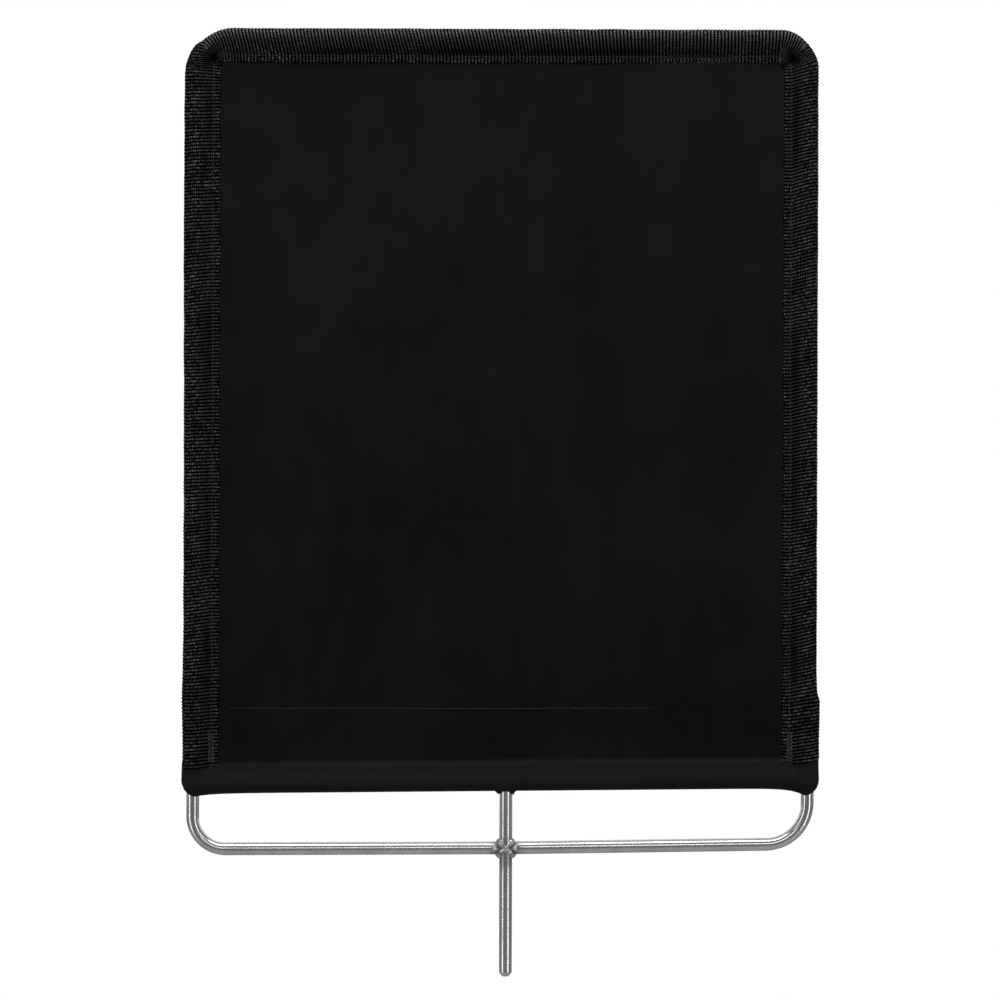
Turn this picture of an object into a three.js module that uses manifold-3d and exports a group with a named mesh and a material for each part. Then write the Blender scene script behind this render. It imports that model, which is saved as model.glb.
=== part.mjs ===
// A light-control flag: a bent rod frame on a mounting pin, with a sewn black cloth cover.
// Millimetres. +Z runs up along the pin, the front faces -Y, and the origin is the centre of
// the pin's lower end.

import * as THREE from 'three';
import { mergeVertices } from 'three/addons/utils/BufferGeometryUtils.js';
import Module from 'manifold-3d';

const wasm = await Module();
wasm.setup();

// Frame
const ROD_DIAMETER = 9.525; // 3/8 in round steel, the same for the loop, the crossbar and the pin
const LOOP_HEIGHT = 609.6; // 24 in over the rod, from the rail's lowest to the top's highest line
const SIDE_SPACING = 455.2; // between the centre lines of the two side stretches
const LOOP_OFFSET = -4.4; // the loop's middle, left of the pin
const RAIL_HEIGHT = 95; // the rail's centre line where it meets the pin
const RAIL_RISE_LEFT = -1.6; // how far the rail's left leg climbs on its way out
const RAIL_RISE_RIGHT = 3.8; // the same for its right leg
const BEND_TOP_LEFT = 30; // radii of the hand-bent corners, at the centre line
const BEND_TOP_RIGHT = 22;
const BEND_BOTTOM_RIGHT = 31;
const BEND_BOTTOM_LEFT = 24;
const CROSSBAR_HEIGHT_LEFT = 140; // the crossbar's centre line at the two side stretches
const CROSSBAR_HEIGHT_RIGHT = 145.6;
const PIN_END_RADIUS = 2.4; // the flat left by the pin's dressed lower end
const PIN_END_HEIGHT = 3;
const COPE_DEPTH = 2.5; // how near a coped end comes to the axis of the rod it meets
const WELD_LENGTH = 9; // a fillet, along the rod that it holds
const WELD_RADIUS = 7.3;
const WELD_TOE = 0.6; // thickness of a fillet's thin end
const WELD_HOLLOW = 1.6; // 1 is a straight taper, more makes the fillet's face hollow

// Cover
const CLOTH = 0.8;
const FLAP_BACK = -1.5 * CLOTH; // rear face of the cloth turned up behind the panel
const SLEEVE_CLOSE = 11; // from the crossbar's centre line up to where the sleeve's sides meet
const HEM_HEIGHT = 198.6; // top edge of the cloth turned up behind
const LOWER_SEAM = 17; // from the crossbar's centre line up to the seam that closes the sleeve
const FLAP_INSET = 21; // the sleeve and the flap behind, short of the side stretches' centre lines
const WEBBING = 1.45;
const WEBBING_REACH = 19.8; // from the rod's centre line in to the webbing's edge
const LIP_START = 10.8; // where the webbing's two sides become parallel
const WEBBING_BOTTOM_LEFT = 154.8;
const WEBBING_BOTTOM_RIGHT = 157.2;
const LAP_LEFT = 0.45; // share of a top bend that the side webbing covers
const LAP_RIGHT = 0.44;
const LAP_GAP = 0.02; // share of a top bend left free between side and top webbing

// Thread
const THREAD_WIDTH = 0.6;
const THREAD_HEIGHT = 0.4;
const UPPER_SEAM = 1.2; // the seam along the turned-up cloth, below that cloth's top edge
const SEAM_INSET = 13.5; // the webbing's seam, from the rod's centre line
const HEM_SEAM_INSET = 27; // ends of the hem seams, from the side stretches' centre lines
const TACK_WIDTH = 5;
const TACK_LENGTH = 22;
const TACK_LIFT = 3; // from the webbing's raw end

const GAP = 0.3; // left between touching pieces
const MERGE = 1e-4; // vertices nearer than this are one
const ROD_SIDES = 16;
const BEND_STEPS = 8;
const ARC_SEGMENTS = 9;

const ROD_RADIUS = ROD_DIAMETER / 2;
const CLEAR_RADIUS = ROD_RADIUS + GAP;
const LEFT = LOOP_OFFSET - SIDE_SPACING / 2;
const RIGHT = LOOP_OFFSET + SIDE_SPACING / 2;
const TOP = RAIL_HEIGHT + LOOP_HEIGHT - ROD_DIAMETER;
const CROSSBAR_SLOPE = (CROSSBAR_HEIGHT_RIGHT - CROSSBAR_HEIGHT_LEFT) / SIDE_SPACING;
const FRONT = new THREE.Vector3(0, -1, 0);

const steel = new THREE.MeshStandardMaterial({ color: 0x9a9a98, roughness: 0.36, metalness: 1 });
const weldMetal = new THREE.MeshStandardMaterial({ color: 0x7d7a76, roughness: 0.5, metalness: 1 });
const cloth = new THREE.MeshStandardMaterial({ color: 0x131313, roughness: 0.95, metalness: 0 });
const webbing = new THREE.MeshStandardMaterial({ color: 0x1c1c1c, roughness: 0.7, metalness: 0 });
const thread = new THREE.MeshStandardMaterial({ color: 0x2a2a2a, roughness: 0.6, metalness: 0 });

const flag = new THREE.Group();

/** Adds a named piece to the flag. */
function addPiece(name, geometry, material) {
  const mesh = new THREE.Mesh(geometry, material);
  mesh.name = name;
  flag.add(mesh);
}

/** A point in the plane of the frame. */
function inFrame(x, z) {
  return new THREE.Vector3(x, 0, z);
}

/** Height of the crossbar's centre line at a place along it. */
function crossbarHeight(x) {
  return CROSSBAR_HEIGHT_LEFT + CROSSBAR_SLOPE * (x - LEFT);
}

/** A closed geometry with its shared vertices merged, as a solid for cutting and joining. */
function toSolid(geometry) {
  const bare = geometry.clone();
  bare.deleteAttribute('normal');
  bare.deleteAttribute('uv');
  const merged = mergeVertices(bare, MERGE);
  return new wasm.Manifold(new wasm.Mesh({
    numProp: 3,
    vertProperties: new Float32Array(merged.attributes.position.array),
    triVerts: new Uint32Array(merged.index.array),
  }));
}

/** A solid as a geometry. */
function toGeometry(solid) {
  const mesh = solid.getMesh();
  const geometry = new THREE.BufferGeometry();
  geometry.setAttribute('position', new THREE.BufferAttribute(mesh.vertProperties, 3));
  geometry.setIndex(new THREE.BufferAttribute(mesh.triVerts, 1));
  return geometry;
}

/** A geometry with others cut away from it. */
function cut(geometry, ...tools) {
  const rest = tools.reduce((solid, tool) => solid.subtract(toSolid(tool)), toSolid(geometry));
  return toGeometry(rest);
}

/** A place on a rod's centre line, with the way that the rod runs there. */
function station(point, tangent) {
  return { point, tangent: tangent.clone().normalize() };
}

/** Stations through the round bend at a corner, from one share of its turn to another. */
function bend(before, corner, after, radius, from = 0, to = 1) {
  const way = corner.clone().sub(before).normalize();
  const next = after.clone().sub(corner).normalize();
  const turn = way.angleTo(next);
  const inward = next.clone().addScaledVector(way, -way.dot(next)).normalize();
  const centre = corner.clone();
  centre.addScaledVector(way, -radius * Math.tan(turn / 2));
  centre.addScaledVector(inward, radius);
  const stations = [];
  for (let step = 0; step <= BEND_STEPS; step += 1) {
    const angle = turn * THREE.MathUtils.lerp(from, to, step / BEND_STEPS);
    const point = centre.clone();
    point.addScaledVector(inward, -radius * Math.cos(angle));
    point.addScaledVector(way, radius * Math.sin(angle));
    const tangent = way.clone().multiplyScalar(Math.cos(angle));
    stations.push(station(point, tangent.addScaledVector(inward, Math.sin(angle))));
  }
  return stations;
}

/** A centre line through stations. Its sections never twist: their x axis points to the front. */
class CentreLine extends THREE.Curve {
  constructor(stations) {
    super();
    this.stations = stations;
  }

  getSpacedPoints() {
    return this.stations.map(({ point }) => point);
  }

  computeFrenetFrames() {
    const tangents = this.stations.map(({ tangent }) => tangent);
    const normals = tangents.map(() => FRONT);
    const binormals = tangents.map((tangent) => tangent.clone().cross(FRONT));
    return { tangents, normals, binormals };
  }
}

/** A section swept through stations, closed at both ends. */
function sweep(section, stations) {
  return new THREE.ExtrudeGeometry(section, {
    extrudePath: new CentreLine(stations),
    steps: stations.length - 1,
    curveSegments: ARC_SEGMENTS,
  });
}

/** A round section. */
function roundSection(radius) {
  const section = new THREE.Shape();
  for (let side = 0; side < ROD_SIDES; side += 1) {
    const angle = (2 * Math.PI * side) / ROD_SIDES;
    const corner = [radius * Math.cos(angle), radius * Math.sin(angle)];
    if (side === 0) section.moveTo(...corner);
    else section.lineTo(...corner);
  }
  section.closePath();
  return section;
}

/** A straight round rod between two points. */
function straightRod(start, end, radius) {
  const way = end.clone().sub(start);
  return sweep(roundSection(radius), [station(start, way), station(end, way)]);
}

/** A rectangular section, centred on a place that is so far in front and so far to the right. */
function barSection(front, right, height, width) {
  const section = new THREE.Shape();
  section.moveTo(front - height / 2, right - width / 2);
  section.lineTo(front + height / 2, right - width / 2);
  section.lineTo(front + height / 2, right + width / 2);
  section.lineTo(front - height / 2, right + width / 2);
  section.closePath();
  return section;
}

// ---- Corners of the loop's centre line

const pinJoint = inFrame(0, RAIL_HEIGHT);
const bottomLeft = inFrame(LEFT, RAIL_HEIGHT + RAIL_RISE_LEFT);
const topLeft = inFrame(LEFT, TOP);
const topRight = inFrame(RIGHT, TOP);
const bottomRight = inFrame(RIGHT, RAIL_HEIGHT + RAIL_RISE_RIGHT);

/** The whole loop, from the pin round to the pin again, at a chosen radius of rod. */
function loopRod(radius) {
  const leaving = bottomLeft.clone().sub(pinJoint).normalize();
  const arriving = pinJoint.clone().sub(bottomRight).normalize();
  return sweep(roundSection(radius), [
    station(pinJoint.clone().addScaledVector(leaving, COPE_DEPTH), leaving),
    ...bend(pinJoint, bottomLeft, topLeft, BEND_BOTTOM_LEFT),
    ...bend(bottomLeft, topLeft, topRight, BEND_TOP_LEFT),
    ...bend(topLeft, topRight, bottomRight, BEND_TOP_RIGHT),
    ...bend(topRight, bottomRight, pinJoint, BEND_BOTTOM_RIGHT),
    station(pinJoint.clone().addScaledVector(arriving, -COPE_DEPTH), arriving),
  ]);
}

/** The crossbar at a chosen radius, from one side's axis to the other's, less a cope's depth. */
function crossbarRod(radius) {
  const start = inFrame(LEFT + COPE_DEPTH, crossbarHeight(LEFT + COPE_DEPTH));
  const end = inFrame(RIGHT - COPE_DEPTH, crossbarHeight(RIGHT - COPE_DEPTH));
  return straightRod(start, end, radius);
}

/** The pin, turned about its axis, with the edge of its lower end dressed off. */
function pinBlank(radius) {
  const profile = [
    new THREE.Vector2(0, 0),
    new THREE.Vector2(PIN_END_RADIUS, 0),
    new THREE.Vector2(radius, PIN_END_HEIGHT),
    new THREE.Vector2(radius, crossbarHeight(0) - COPE_DEPTH),
    new THREE.Vector2(0, crossbarHeight(0) - COPE_DEPTH),
  ];
  return new THREE.LatheGeometry(profile, ROD_SIDES).rotateX(Math.PI / 2);
}

/** A fillet weld: a ring round a rod's end, which tapers along the rod and hugs what it meets. */
function weld(joint, way, met) {
  const profile = [new THREE.Vector2(CLEAR_RADIUS, GAP)];
  for (let step = 0; step <= ARC_SEGMENTS; step += 1) {
    const share = step / ARC_SEGMENTS;
    const height = (WELD_RADIUS - CLEAR_RADIUS - WELD_TOE) * (1 - share) ** WELD_HOLLOW + WELD_TOE;
    profile.push(new THREE.Vector2(CLEAR_RADIUS + height, GAP + share * (WELD_LENGTH - GAP)));
  }
  profile.push(new THREE.Vector2(CLEAR_RADIUS, WELD_LENGTH));
  profile.push(profile[0].clone());
  const ring = new THREE.LatheGeometry(profile, ROD_SIDES);
  ring.applyQuaternion(new THREE.Quaternion().setFromUnitVectors(new THREE.Vector3(0, 1, 0), way));
  ring.translate(joint.x, joint.y, joint.z);
  return cut(ring, met);
}

function buildFrame() {
  const pinClear = straightRod(inFrame(0, 0), inFrame(0, crossbarHeight(0)), CLEAR_RADIUS);
  const loopClear = loopRod(CLEAR_RADIUS);
  const crossbarClear = crossbarRod(CLEAR_RADIUS);
  addPiece('frame_rod', cut(loopRod(ROD_RADIUS), pinClear), steel);
  addPiece('crossbar', cut(crossbarRod(ROD_RADIUS), loopClear), steel);
  addPiece('mounting_pin', cut(pinBlank(ROD_RADIUS), crossbarClear), steel);

  const alongCrossbar = inFrame(1, CROSSBAR_SLOPE).normalize();
  const leftEnd = inFrame(LEFT, CROSSBAR_HEIGHT_LEFT);
  const rightEnd = inFrame(RIGHT, CROSSBAR_HEIGHT_RIGHT);
  const leavingLeft = bottomLeft.clone().sub(pinJoint).normalize();
  const leavingRight = bottomRight.clone().sub(pinJoint).normalize();
  addPiece('weld_rail_left', weld(pinJoint, leavingLeft, pinClear), weldMetal);
  addPiece('weld_rail_right', weld(pinJoint, leavingRight, pinClear), weldMetal);
  addPiece('weld_crossbar_left', weld(leftEnd, alongCrossbar, loopClear), weldMetal);
  addPiece('weld_crossbar_right', weld(rightEnd, alongCrossbar.clone().negate(), loopClear), weldMetal);
  const pinTop = inFrame(0, crossbarHeight(0));
  addPiece('weld_pin_crossbar', weld(pinTop, inFrame(0, -1), crossbarClear), weldMetal);
}

// ---- Cover

/** The flat cloth between the rods, down to where the sleeve opens. */
function flatCloth() {
  const left = LEFT + CLEAR_RADIUS;
  const right = RIGHT - CLEAR_RADIUS;
  const top = TOP - CLEAR_RADIUS;
  const leftRadius = BEND_TOP_LEFT - CLEAR_RADIUS;
  const rightRadius = BEND_TOP_RIGHT - CLEAR_RADIUS;
  const outline = new THREE.Shape();
  outline.moveTo(left, crossbarHeight(left) + SLEEVE_CLOSE - CLOTH);
  outline.lineTo(right, crossbarHeight(right) + SLEEVE_CLOSE - CLOTH);
  outline.lineTo(right, top - rightRadius);
  outline.absarc(right - rightRadius, top - rightRadius, rightRadius, 0, Math.PI / 2);
  outline.lineTo(left + leftRadius, top);
  outline.absarc(left + leftRadius, top - leftRadius, leftRadius, Math.PI / 2, Math.PI);
  outline.closePath();
  const sheet = new THREE.ExtrudeGeometry(outline, {
    depth: CLOTH,
    bevelEnabled: false,
    curveSegments: ARC_SEGMENTS,
  });
  return sheet.rotateX(Math.PI / 2).translate(0, CLOTH / 2, 0);
}

/** Angle at which a straight line from a point touches a circle about the origin. */
function touchingAngle(radius, x, y) {
  return Math.atan2(y, x) - Math.acos(radius / Math.hypot(x, y));
}

/** The sleeve's section about the crossbar, with the cloth turned up behind: x to the front, y up. */
function sleeveSection() {
  const outer = CLEAR_RADIUS + CLOTH;
  const hem = HEM_HEIGHT - crossbarHeight(0);
  const front = touchingAngle(outer, CLOTH / 2, SLEEVE_CLOSE);
  const back = Math.PI - touchingAngle(outer, -FLAP_BACK, SLEEVE_CLOSE);
  const section = new THREE.Shape();
  section.moveTo(CLOTH / 2, hem);
  section.lineTo(FLAP_BACK, hem);
  section.lineTo(FLAP_BACK, SLEEVE_CLOSE);
  section.absarc(0, 0, outer, back, front + 2 * Math.PI, false);
  section.lineTo(CLOTH / 2, SLEEVE_CLOSE);
  section.closePath();
  const channel = new THREE.Path();
  const close = SLEEVE_CLOSE - 2 * CLOTH;
  const touch = touchingAngle(CLEAR_RADIUS, 0, close);
  channel.absarc(0, 0, CLEAR_RADIUS, Math.PI - touch, touch + 2 * Math.PI, false);
  channel.lineTo(0, close);
  channel.closePath();
  section.holes.push(channel);
  return section;
}

/** The sleeve round the crossbar. Below the hem it leans with the crossbar. */
function sleeve() {
  const start = LEFT + FLAP_INSET;
  const end = RIGHT - FLAP_INSET;
  const tube = new THREE.ExtrudeGeometry(sleeveSection(), {
    depth: end - start,
    bevelEnabled: false,
    curveSegments: 2 * ARC_SEGMENTS,
  });
  tube.applyMatrix4(new THREE.Matrix4().makeBasis(FRONT, inFrame(0, 1), inFrame(-1, 0)));
  tube.translate(end, 0, crossbarHeight(0));
  const position = tube.attributes.position;
  const leanHeight = HEM_HEIGHT - crossbarHeight(0) - SLEEVE_CLOSE;
  for (let index = 0; index < position.count; index += 1) {
    const x = position.getX(index);
    const z = position.getZ(index);
    const lean = THREE.MathUtils.clamp((HEM_HEIGHT - z) / leanHeight, 0, 1);
    position.setZ(index, z + CROSSBAR_SLOPE * x * lean);
  }
  return tube;
}

/** A length of webbing folded over the rod: x to the front, y in from the rod's centre line. */
function webbingSection() {
  const inner = CLOTH / 2 + GAP;
  const outer = inner + WEBBING;
  const outerRadius = CLEAR_RADIUS + WEBBING;
  const outerTouch = touchingAngle(outerRadius, outer, LIP_START);
  const innerTouch = touchingAngle(CLEAR_RADIUS, inner, LIP_START);
  const section = new THREE.Shape();
  section.moveTo(-inner, WEBBING_REACH);
  section.lineTo(-outer, WEBBING_REACH);
  section.lineTo(-outer, LIP_START);
  section.absarc(0, 0, outerRadius, Math.PI - outerTouch, outerTouch + 2 * Math.PI, false);
  section.lineTo(outer, LIP_START);
  section.lineTo(outer, WEBBING_REACH);
  section.lineTo(inner, WEBBING_REACH);
  section.lineTo(inner, LIP_START);
  section.absarc(0, 0, CLEAR_RADIUS, innerTouch + 2 * Math.PI, Math.PI - innerTouch, true);
  section.lineTo(-inner, LIP_START);
  section.closePath();
  return section;
}

/** Stations of the three lengths of webbing, whose lower ends can be lifted. */
function webbingRoutes(lift) {
  const up = inFrame(0, 1);
  const leftBend = (from, to) => bend(bottomLeft, topLeft, topRight, BEND_TOP_LEFT, from, to);
  const rightBend = (from, to) => bend(topLeft, topRight, bottomRight, BEND_TOP_RIGHT, from, to);
  return {
    left: [
      station(inFrame(LEFT, WEBBING_BOTTOM_LEFT + lift), up),
      ...leftBend(0, LAP_LEFT),
    ],
    top: [
      ...leftBend(LAP_LEFT + LAP_GAP, 1),
      ...rightBend(0, 1 - LAP_RIGHT - LAP_GAP),
    ],
    right: [
      ...rightBend(1 - LAP_RIGHT, 1),
      station(inFrame(RIGHT, WEBBING_BOTTOM_RIGHT + lift), up.clone().negate()),
    ],
  };
}

function buildCover() {
  const pinWay = straightRod(inFrame(0, 0), inFrame(0, crossbarHeight(0)), WELD_RADIUS + GAP);
  const joined = toGeometry(toSolid(flatCloth()).add(toSolid(sleeve())));
  addPiece('cloth_panel', cut(joined, pinWay), cloth);
  for (const [side, stations] of Object.entries(webbingRoutes(0))) {
    addPiece(`webbing_${side}`, sweep(webbingSection(), stations), webbing);
  }
}

// ---- Thread: each seam has a needle thread in front and a bobbin thread behind

/** A hem seam's two threads, level or along the crossbar, at each face of the doubled cloth. */
function addHemSeam(name, heightAt) {
  const start = inFrame(LEFT + HEM_SEAM_INSET, heightAt(LEFT + HEM_SEAM_INSET));
  const end = inFrame(RIGHT - HEM_SEAM_INSET, heightAt(RIGHT - HEM_SEAM_INSET));
  const way = end.clone().sub(start);
  const lift = GAP + THREAD_HEIGHT / 2;
  const faces = { front: CLOTH / 2 + lift, back: FLAP_BACK - lift };
  for (const [face, offset] of Object.entries(faces)) {
    const section = barSection(offset, 0, THREAD_HEIGHT, THREAD_WIDTH);
    addPiece(`thread_${name}_${face}`, sweep(section, [station(start, way), station(end, way)]), thread);
  }
}

function buildThreads() {
  const lift = CLOTH / 2 + GAP + WEBBING + GAP + THREAD_HEIGHT / 2;
  const faces = { front: lift, back: -lift };
  const routes = webbingRoutes(TACK_LIFT + TACK_LENGTH + GAP);
  for (const [face, offset] of Object.entries(faces)) {
    for (const [side, stations] of Object.entries(routes)) {
      const section = barSection(offset, SEAM_INSET, THREAD_HEIGHT, THREAD_WIDTH);
      addPiece(`thread_${side}_${face}`, sweep(section, stations), thread);
    }
    const tacks = {
      left: [LEFT + SEAM_INSET, WEBBING_BOTTOM_LEFT],
      right: [RIGHT - SEAM_INSET, WEBBING_BOTTOM_RIGHT],
    };
    for (const [side, [x, bottom]] of Object.entries(tacks)) {
      const tack = new THREE.BoxGeometry(TACK_WIDTH, THREAD_HEIGHT, TACK_LENGTH);
      tack.translate(x, -offset, bottom + TACK_LIFT + TACK_LENGTH / 2);
      addPiece(`bar_tack_${side}_${face}`, tack, thread);
    }
  }
  addHemSeam('hem_upper', () => HEM_HEIGHT - UPPER_SEAM);
  addHemSeam('hem_lower', (x) => crossbarHeight(x) + LOWER_SEAM);
}

buildFrame();
buildCover();
buildThreads();

export default flag;
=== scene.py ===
"""Looks of a light-control flag: a bent steel frame on a pin, covered in black cloth and webbing.

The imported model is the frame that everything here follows. Lengths are in metres, +Z runs up
along the pin, the front faces -Y, and the origin is the centre of the pin's lower end.
"""

from __future__ import annotations

import logging
import math
import random
from dataclasses import dataclass
from enum import Enum
from functools import lru_cache
from typing import Any, Callable, Iterable, Sequence

import bmesh
import bpy
from mathutils import Matrix, Vector, noise


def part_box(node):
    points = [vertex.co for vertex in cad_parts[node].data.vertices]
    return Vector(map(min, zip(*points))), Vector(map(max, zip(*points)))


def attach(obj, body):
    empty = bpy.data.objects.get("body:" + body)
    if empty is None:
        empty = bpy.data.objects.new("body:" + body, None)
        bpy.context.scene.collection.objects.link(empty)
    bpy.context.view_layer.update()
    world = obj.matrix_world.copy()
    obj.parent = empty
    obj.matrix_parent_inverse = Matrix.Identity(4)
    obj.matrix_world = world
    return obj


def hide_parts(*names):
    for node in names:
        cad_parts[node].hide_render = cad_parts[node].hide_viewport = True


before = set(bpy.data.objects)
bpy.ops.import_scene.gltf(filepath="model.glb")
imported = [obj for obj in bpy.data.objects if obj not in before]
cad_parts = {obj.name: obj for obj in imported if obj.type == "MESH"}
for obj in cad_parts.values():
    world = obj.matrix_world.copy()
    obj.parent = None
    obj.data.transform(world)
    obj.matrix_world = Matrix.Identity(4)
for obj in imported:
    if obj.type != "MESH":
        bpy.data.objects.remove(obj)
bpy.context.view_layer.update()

logging.basicConfig(level=logging.INFO, format="%(levelname)s %(message)s")
log = logging.getLogger("flag")

MM = 0.001
LAID = "laid"
MERGE = 1e-6
FRONT = Vector((0.0, -1.0, 0.0))
UP = Vector((0.0, 0.0, 1.0))


class Slot(Enum):
    """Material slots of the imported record."""

    ROD = "rod_steel"
    WELD = "weld_steel"
    CLOTH = "black_cloth"
    WEBBING = "black_webbing"
    THREAD = "black_thread"


class Face(Enum):
    """The two faces of the cover, with the sign of their distance in front of the middle."""

    FRONT = 1
    BACK = -1

    @property
    def word(self) -> str:
        """The face's name as pieces use it."""
        return self.name.lower()


# ---- Numbers and shapes that several pieces share


def ease(value: float, low: float, high: float) -> float:
    """Smooth step of a value from 0 at low to 1 at high, where low may be the larger one."""
    share = min(max((value - low) / (high - low), 0.0), 1.0)
    return share * share * (3.0 - 2.0 * share)


def hump(value: float, centre: float, width: float) -> float:
    """Bell curve of a value: 1 at its centre, fading over its width."""
    return math.exp(-(((value - centre) / width) ** 2))


def soft_max(first: float, second: float, blend: float) -> float:
    """The larger of two numbers, rounded over where they are within blend of each other."""
    gap = max(blend - abs(first - second), 0.0) / blend
    return max(first, second) + gap * gap * blend * 0.25


def wander(*place: float) -> float:
    """Smooth fixed variation, about -1 to 1, at a place in up to three dimensions."""
    padded = (*place, 0.37, 0.61)[:3]
    return noise.noise(Vector(padded)) * 1.6


def spread(edges: Sequence[float], strides: Sequence[float]) -> list[float]:
    """Values from the first edge up to the last, in even steps of about a stride between edges.

    Args:
        edges: Where the stride changes, with the first value and the end, which is left out.
        strides: The stride from each edge to the next.

    Returns:
        The values, in order.
    """
    result = []
    for (low, high), stride in zip(zip(edges, edges[1:]), strides):
        count = round((high - low) / stride)
        result += [low + (high - low) * index / count for index in range(count)]
    return result


@dataclass(frozen=True)
class Stop:
    """A place on a centre line in the plane of the frame, with the way the line runs there."""

    point: Vector
    along: Vector

    @property
    def inward(self) -> Vector:
        """The direction to the right of the way, which is into the panel on a clockwise loop."""
        return Vector((self.along.z, 0.0, -self.along.x))

    def matrix(self, scale: float = 1.0) -> Matrix:
        """Placement of a section here: its x axis points to the front and its z axis along.

        Args:
            scale: Size of the section, as a share of its own.

        Returns:
            The matrix that carries a section about the origin to this place.
        """
        turn = Matrix((FRONT, self.inward, self.along)).transposed().to_4x4()
        return Matrix.Translation(self.point) @ turn @ Matrix.Diagonal((scale, scale, 1.0, 1.0))


class Route:
    """A centre line of straight stretches joined by round bends, measured along its length."""

    def __init__(self, corners: Sequence[Vector], radii: Sequence[float]) -> None:
        """Lays the line out.

        Args:
            corners: The start, each corner, and the end.
            radii: The bend radius at each corner between the start and the end.
        """
        self.parts: list[tuple[float, float, Vector, Vector, float, float]] = []
        self.bends: list[tuple[float, float]] = []
        start, travelled = corners[0], 0.0
        for index, radius in enumerate(radii, 1):
            way = (corners[index] - corners[index - 1]).normalized()
            following = (corners[index + 1] - corners[index]).normalized()
            turn = way.angle(following)
            side = 1.0 if way.cross(following).y > 0 else -1.0
            tangent = radius * math.tan(turn / 2)
            straight = (corners[index] - start).length - tangent
            self.parts.append((travelled, straight, start, way, 0.0, 0.0))
            travelled += straight
            self.parts.append((travelled, radius * turn, start + way * straight, way, radius, side))
            self.bends.append((travelled, travelled + radius * turn))
            travelled += radius * turn
            start = corners[index] + following * tangent
        way = (corners[-1] - start).normalized()
        self.parts.append((travelled, (corners[-1] - start).length, start, way, 0.0, 0.0))
        self.length = travelled + self.parts[-1][1]

    def at(self, distance: float) -> Stop:
        """The place at a distance along the line, carried straight on past both ends."""
        part = self.parts[0]
        for candidate in self.parts:
            if distance >= candidate[0]:
                part = candidate
        begin, _, start, way, radius, side = part
        gone = distance - begin
        if radius == 0.0:
            return Stop(start + way * gone, way.copy())
        inward = Vector((way.z, 0.0, -way.x)) * side
        angle = gone / radius
        point = start + inward * (radius * (1.0 - math.cos(angle))) + way * (radius * math.sin(angle))
        return Stop(point, way * math.cos(angle) + inward * math.sin(angle))

    def stations(self, start: float, end: float, stride: float, bend_stride: float) -> list[float]:
        """Distances from start to end, close together in the bends.

        Args:
            start: First distance.
            end: Last distance.
            stride: Longest step along the straight stretches.
            bend_stride: Longest step in the bends.

        Returns:
            The distances, in order.
        """
        knots = [start, *(edge for bend in self.bends for edge in bend if start < edge < end), end]
        result = [start]
        for low, high in zip(knots, knots[1:]):
            middle = (low + high) / 2
            bent = any(first < middle < last for first, last in self.bends)
            count = max(1, math.ceil((high - low) / (bend_stride if bent else stride)))
            result += [low + (high - low) * step / count for step in range(1, count + 1)]
        return result


@dataclass(frozen=True)
class Fold:
    """The section of a strip folded over a rod, as far as the seam that closes it and beyond.

    Distances across the strip run from the fold's outermost line: positive on the front half.
    """

    radius: float
    lip: float
    seam: float
    rounding: float = 0.0

    @property
    def leave(self) -> float:
        """Angle, from the inward direction, at which the strip leaves the rod."""
        reach = math.hypot(self.seam, self.lip)
        return math.atan2(self.lip, self.seam) + math.acos(self.radius / reach)

    @property
    def wrapped(self) -> float:
        """Length of one half of the part that lies round the rod."""
        return self.radius * (math.pi - self.leave)

    @property
    def to_seam(self) -> float:
        """Distance across the strip from its outermost line to the seam."""
        return self.wrapped + math.sqrt(self.seam**2 + self.lip**2 - self.radius**2)

    def sharp(self, across: float) -> Vector:
        """Place on the unrounded section, as its distance to the front and its distance inward."""
        side = math.copysign(1.0, across)
        length = abs(across)
        if length <= self.wrapped:
            angle = math.pi - length / self.radius
            return Vector((side * self.radius * math.sin(angle), self.radius * math.cos(angle)))
        if length >= self.to_seam:
            return Vector((side * self.lip, self.seam + length - self.to_seam))
        left = Vector((self.radius * math.sin(self.leave), self.radius * math.cos(self.leave)))
        place = left.lerp(
            Vector((self.lip, self.seam)), (length - self.wrapped) / (self.to_seam - self.wrapped)
        )
        return Vector((side * place.x, place.y))

    @lru_cache(maxsize=None)
    def at(self, across: float) -> Vector:
        """Place on the section, with its corners rounded."""
        if self.rounding == 0.0:
            return self.sharp(across)
        before, after = self.sharp(across - self.rounding), self.sharp(across + self.rounding)
        return (before + after + self.sharp(across) * 2.0) / 4.0

    @lru_cache(maxsize=None)
    def outward(self, across: float) -> Vector:
        """Unit direction away from the rod, to the front and inward, square to the section."""
        nudge = 0.1 * MM
        way = self.at(across + nudge) - self.at(across - nudge)
        return Vector((way.y, -way.x)).normalized()


# ---- Meshes


def sweep(places: Sequence[Matrix], radius: float, sides: int, lengths: Sequence[float]) -> bmesh.types.BMesh:
    """Draws a ring through places, as a tube with open ends.

    Args:
        places: Placement of the ring at each station.
        radius: Radius of the ring.
        sides: Number of sides of the ring.
        lengths: Distance of each station along the tube, kept with the vertices.

    Returns:
        The tube, with each vertex's place on the straightened tube in its LAID layer.
    """
    bm = bmesh.new()
    laid = bm.verts.layers.float_vector.new(LAID)
    ring = bmesh.ops.create_circle(bm, segments=sides, radius=radius)["verts"]
    for vert in ring:
        vert[laid] = vert.co
    bmesh.ops.transform(bm, matrix=places[0], verts=ring)
    edges = list(bm.edges)
    for before, after, length in zip(places, places[1:], lengths[1:]):
        made = bmesh.ops.extrude_edge_only(bm, edges=edges)["geom"]
        ring = [item for item in made if isinstance(item, bmesh.types.BMVert)]
        edges = [item for item in made if isinstance(item, bmesh.types.BMEdge)]
        bmesh.ops.transform(bm, matrix=after @ before.inverted(), verts=ring)
        for vert in ring:
            vert[laid].z = length
    return bm


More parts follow.
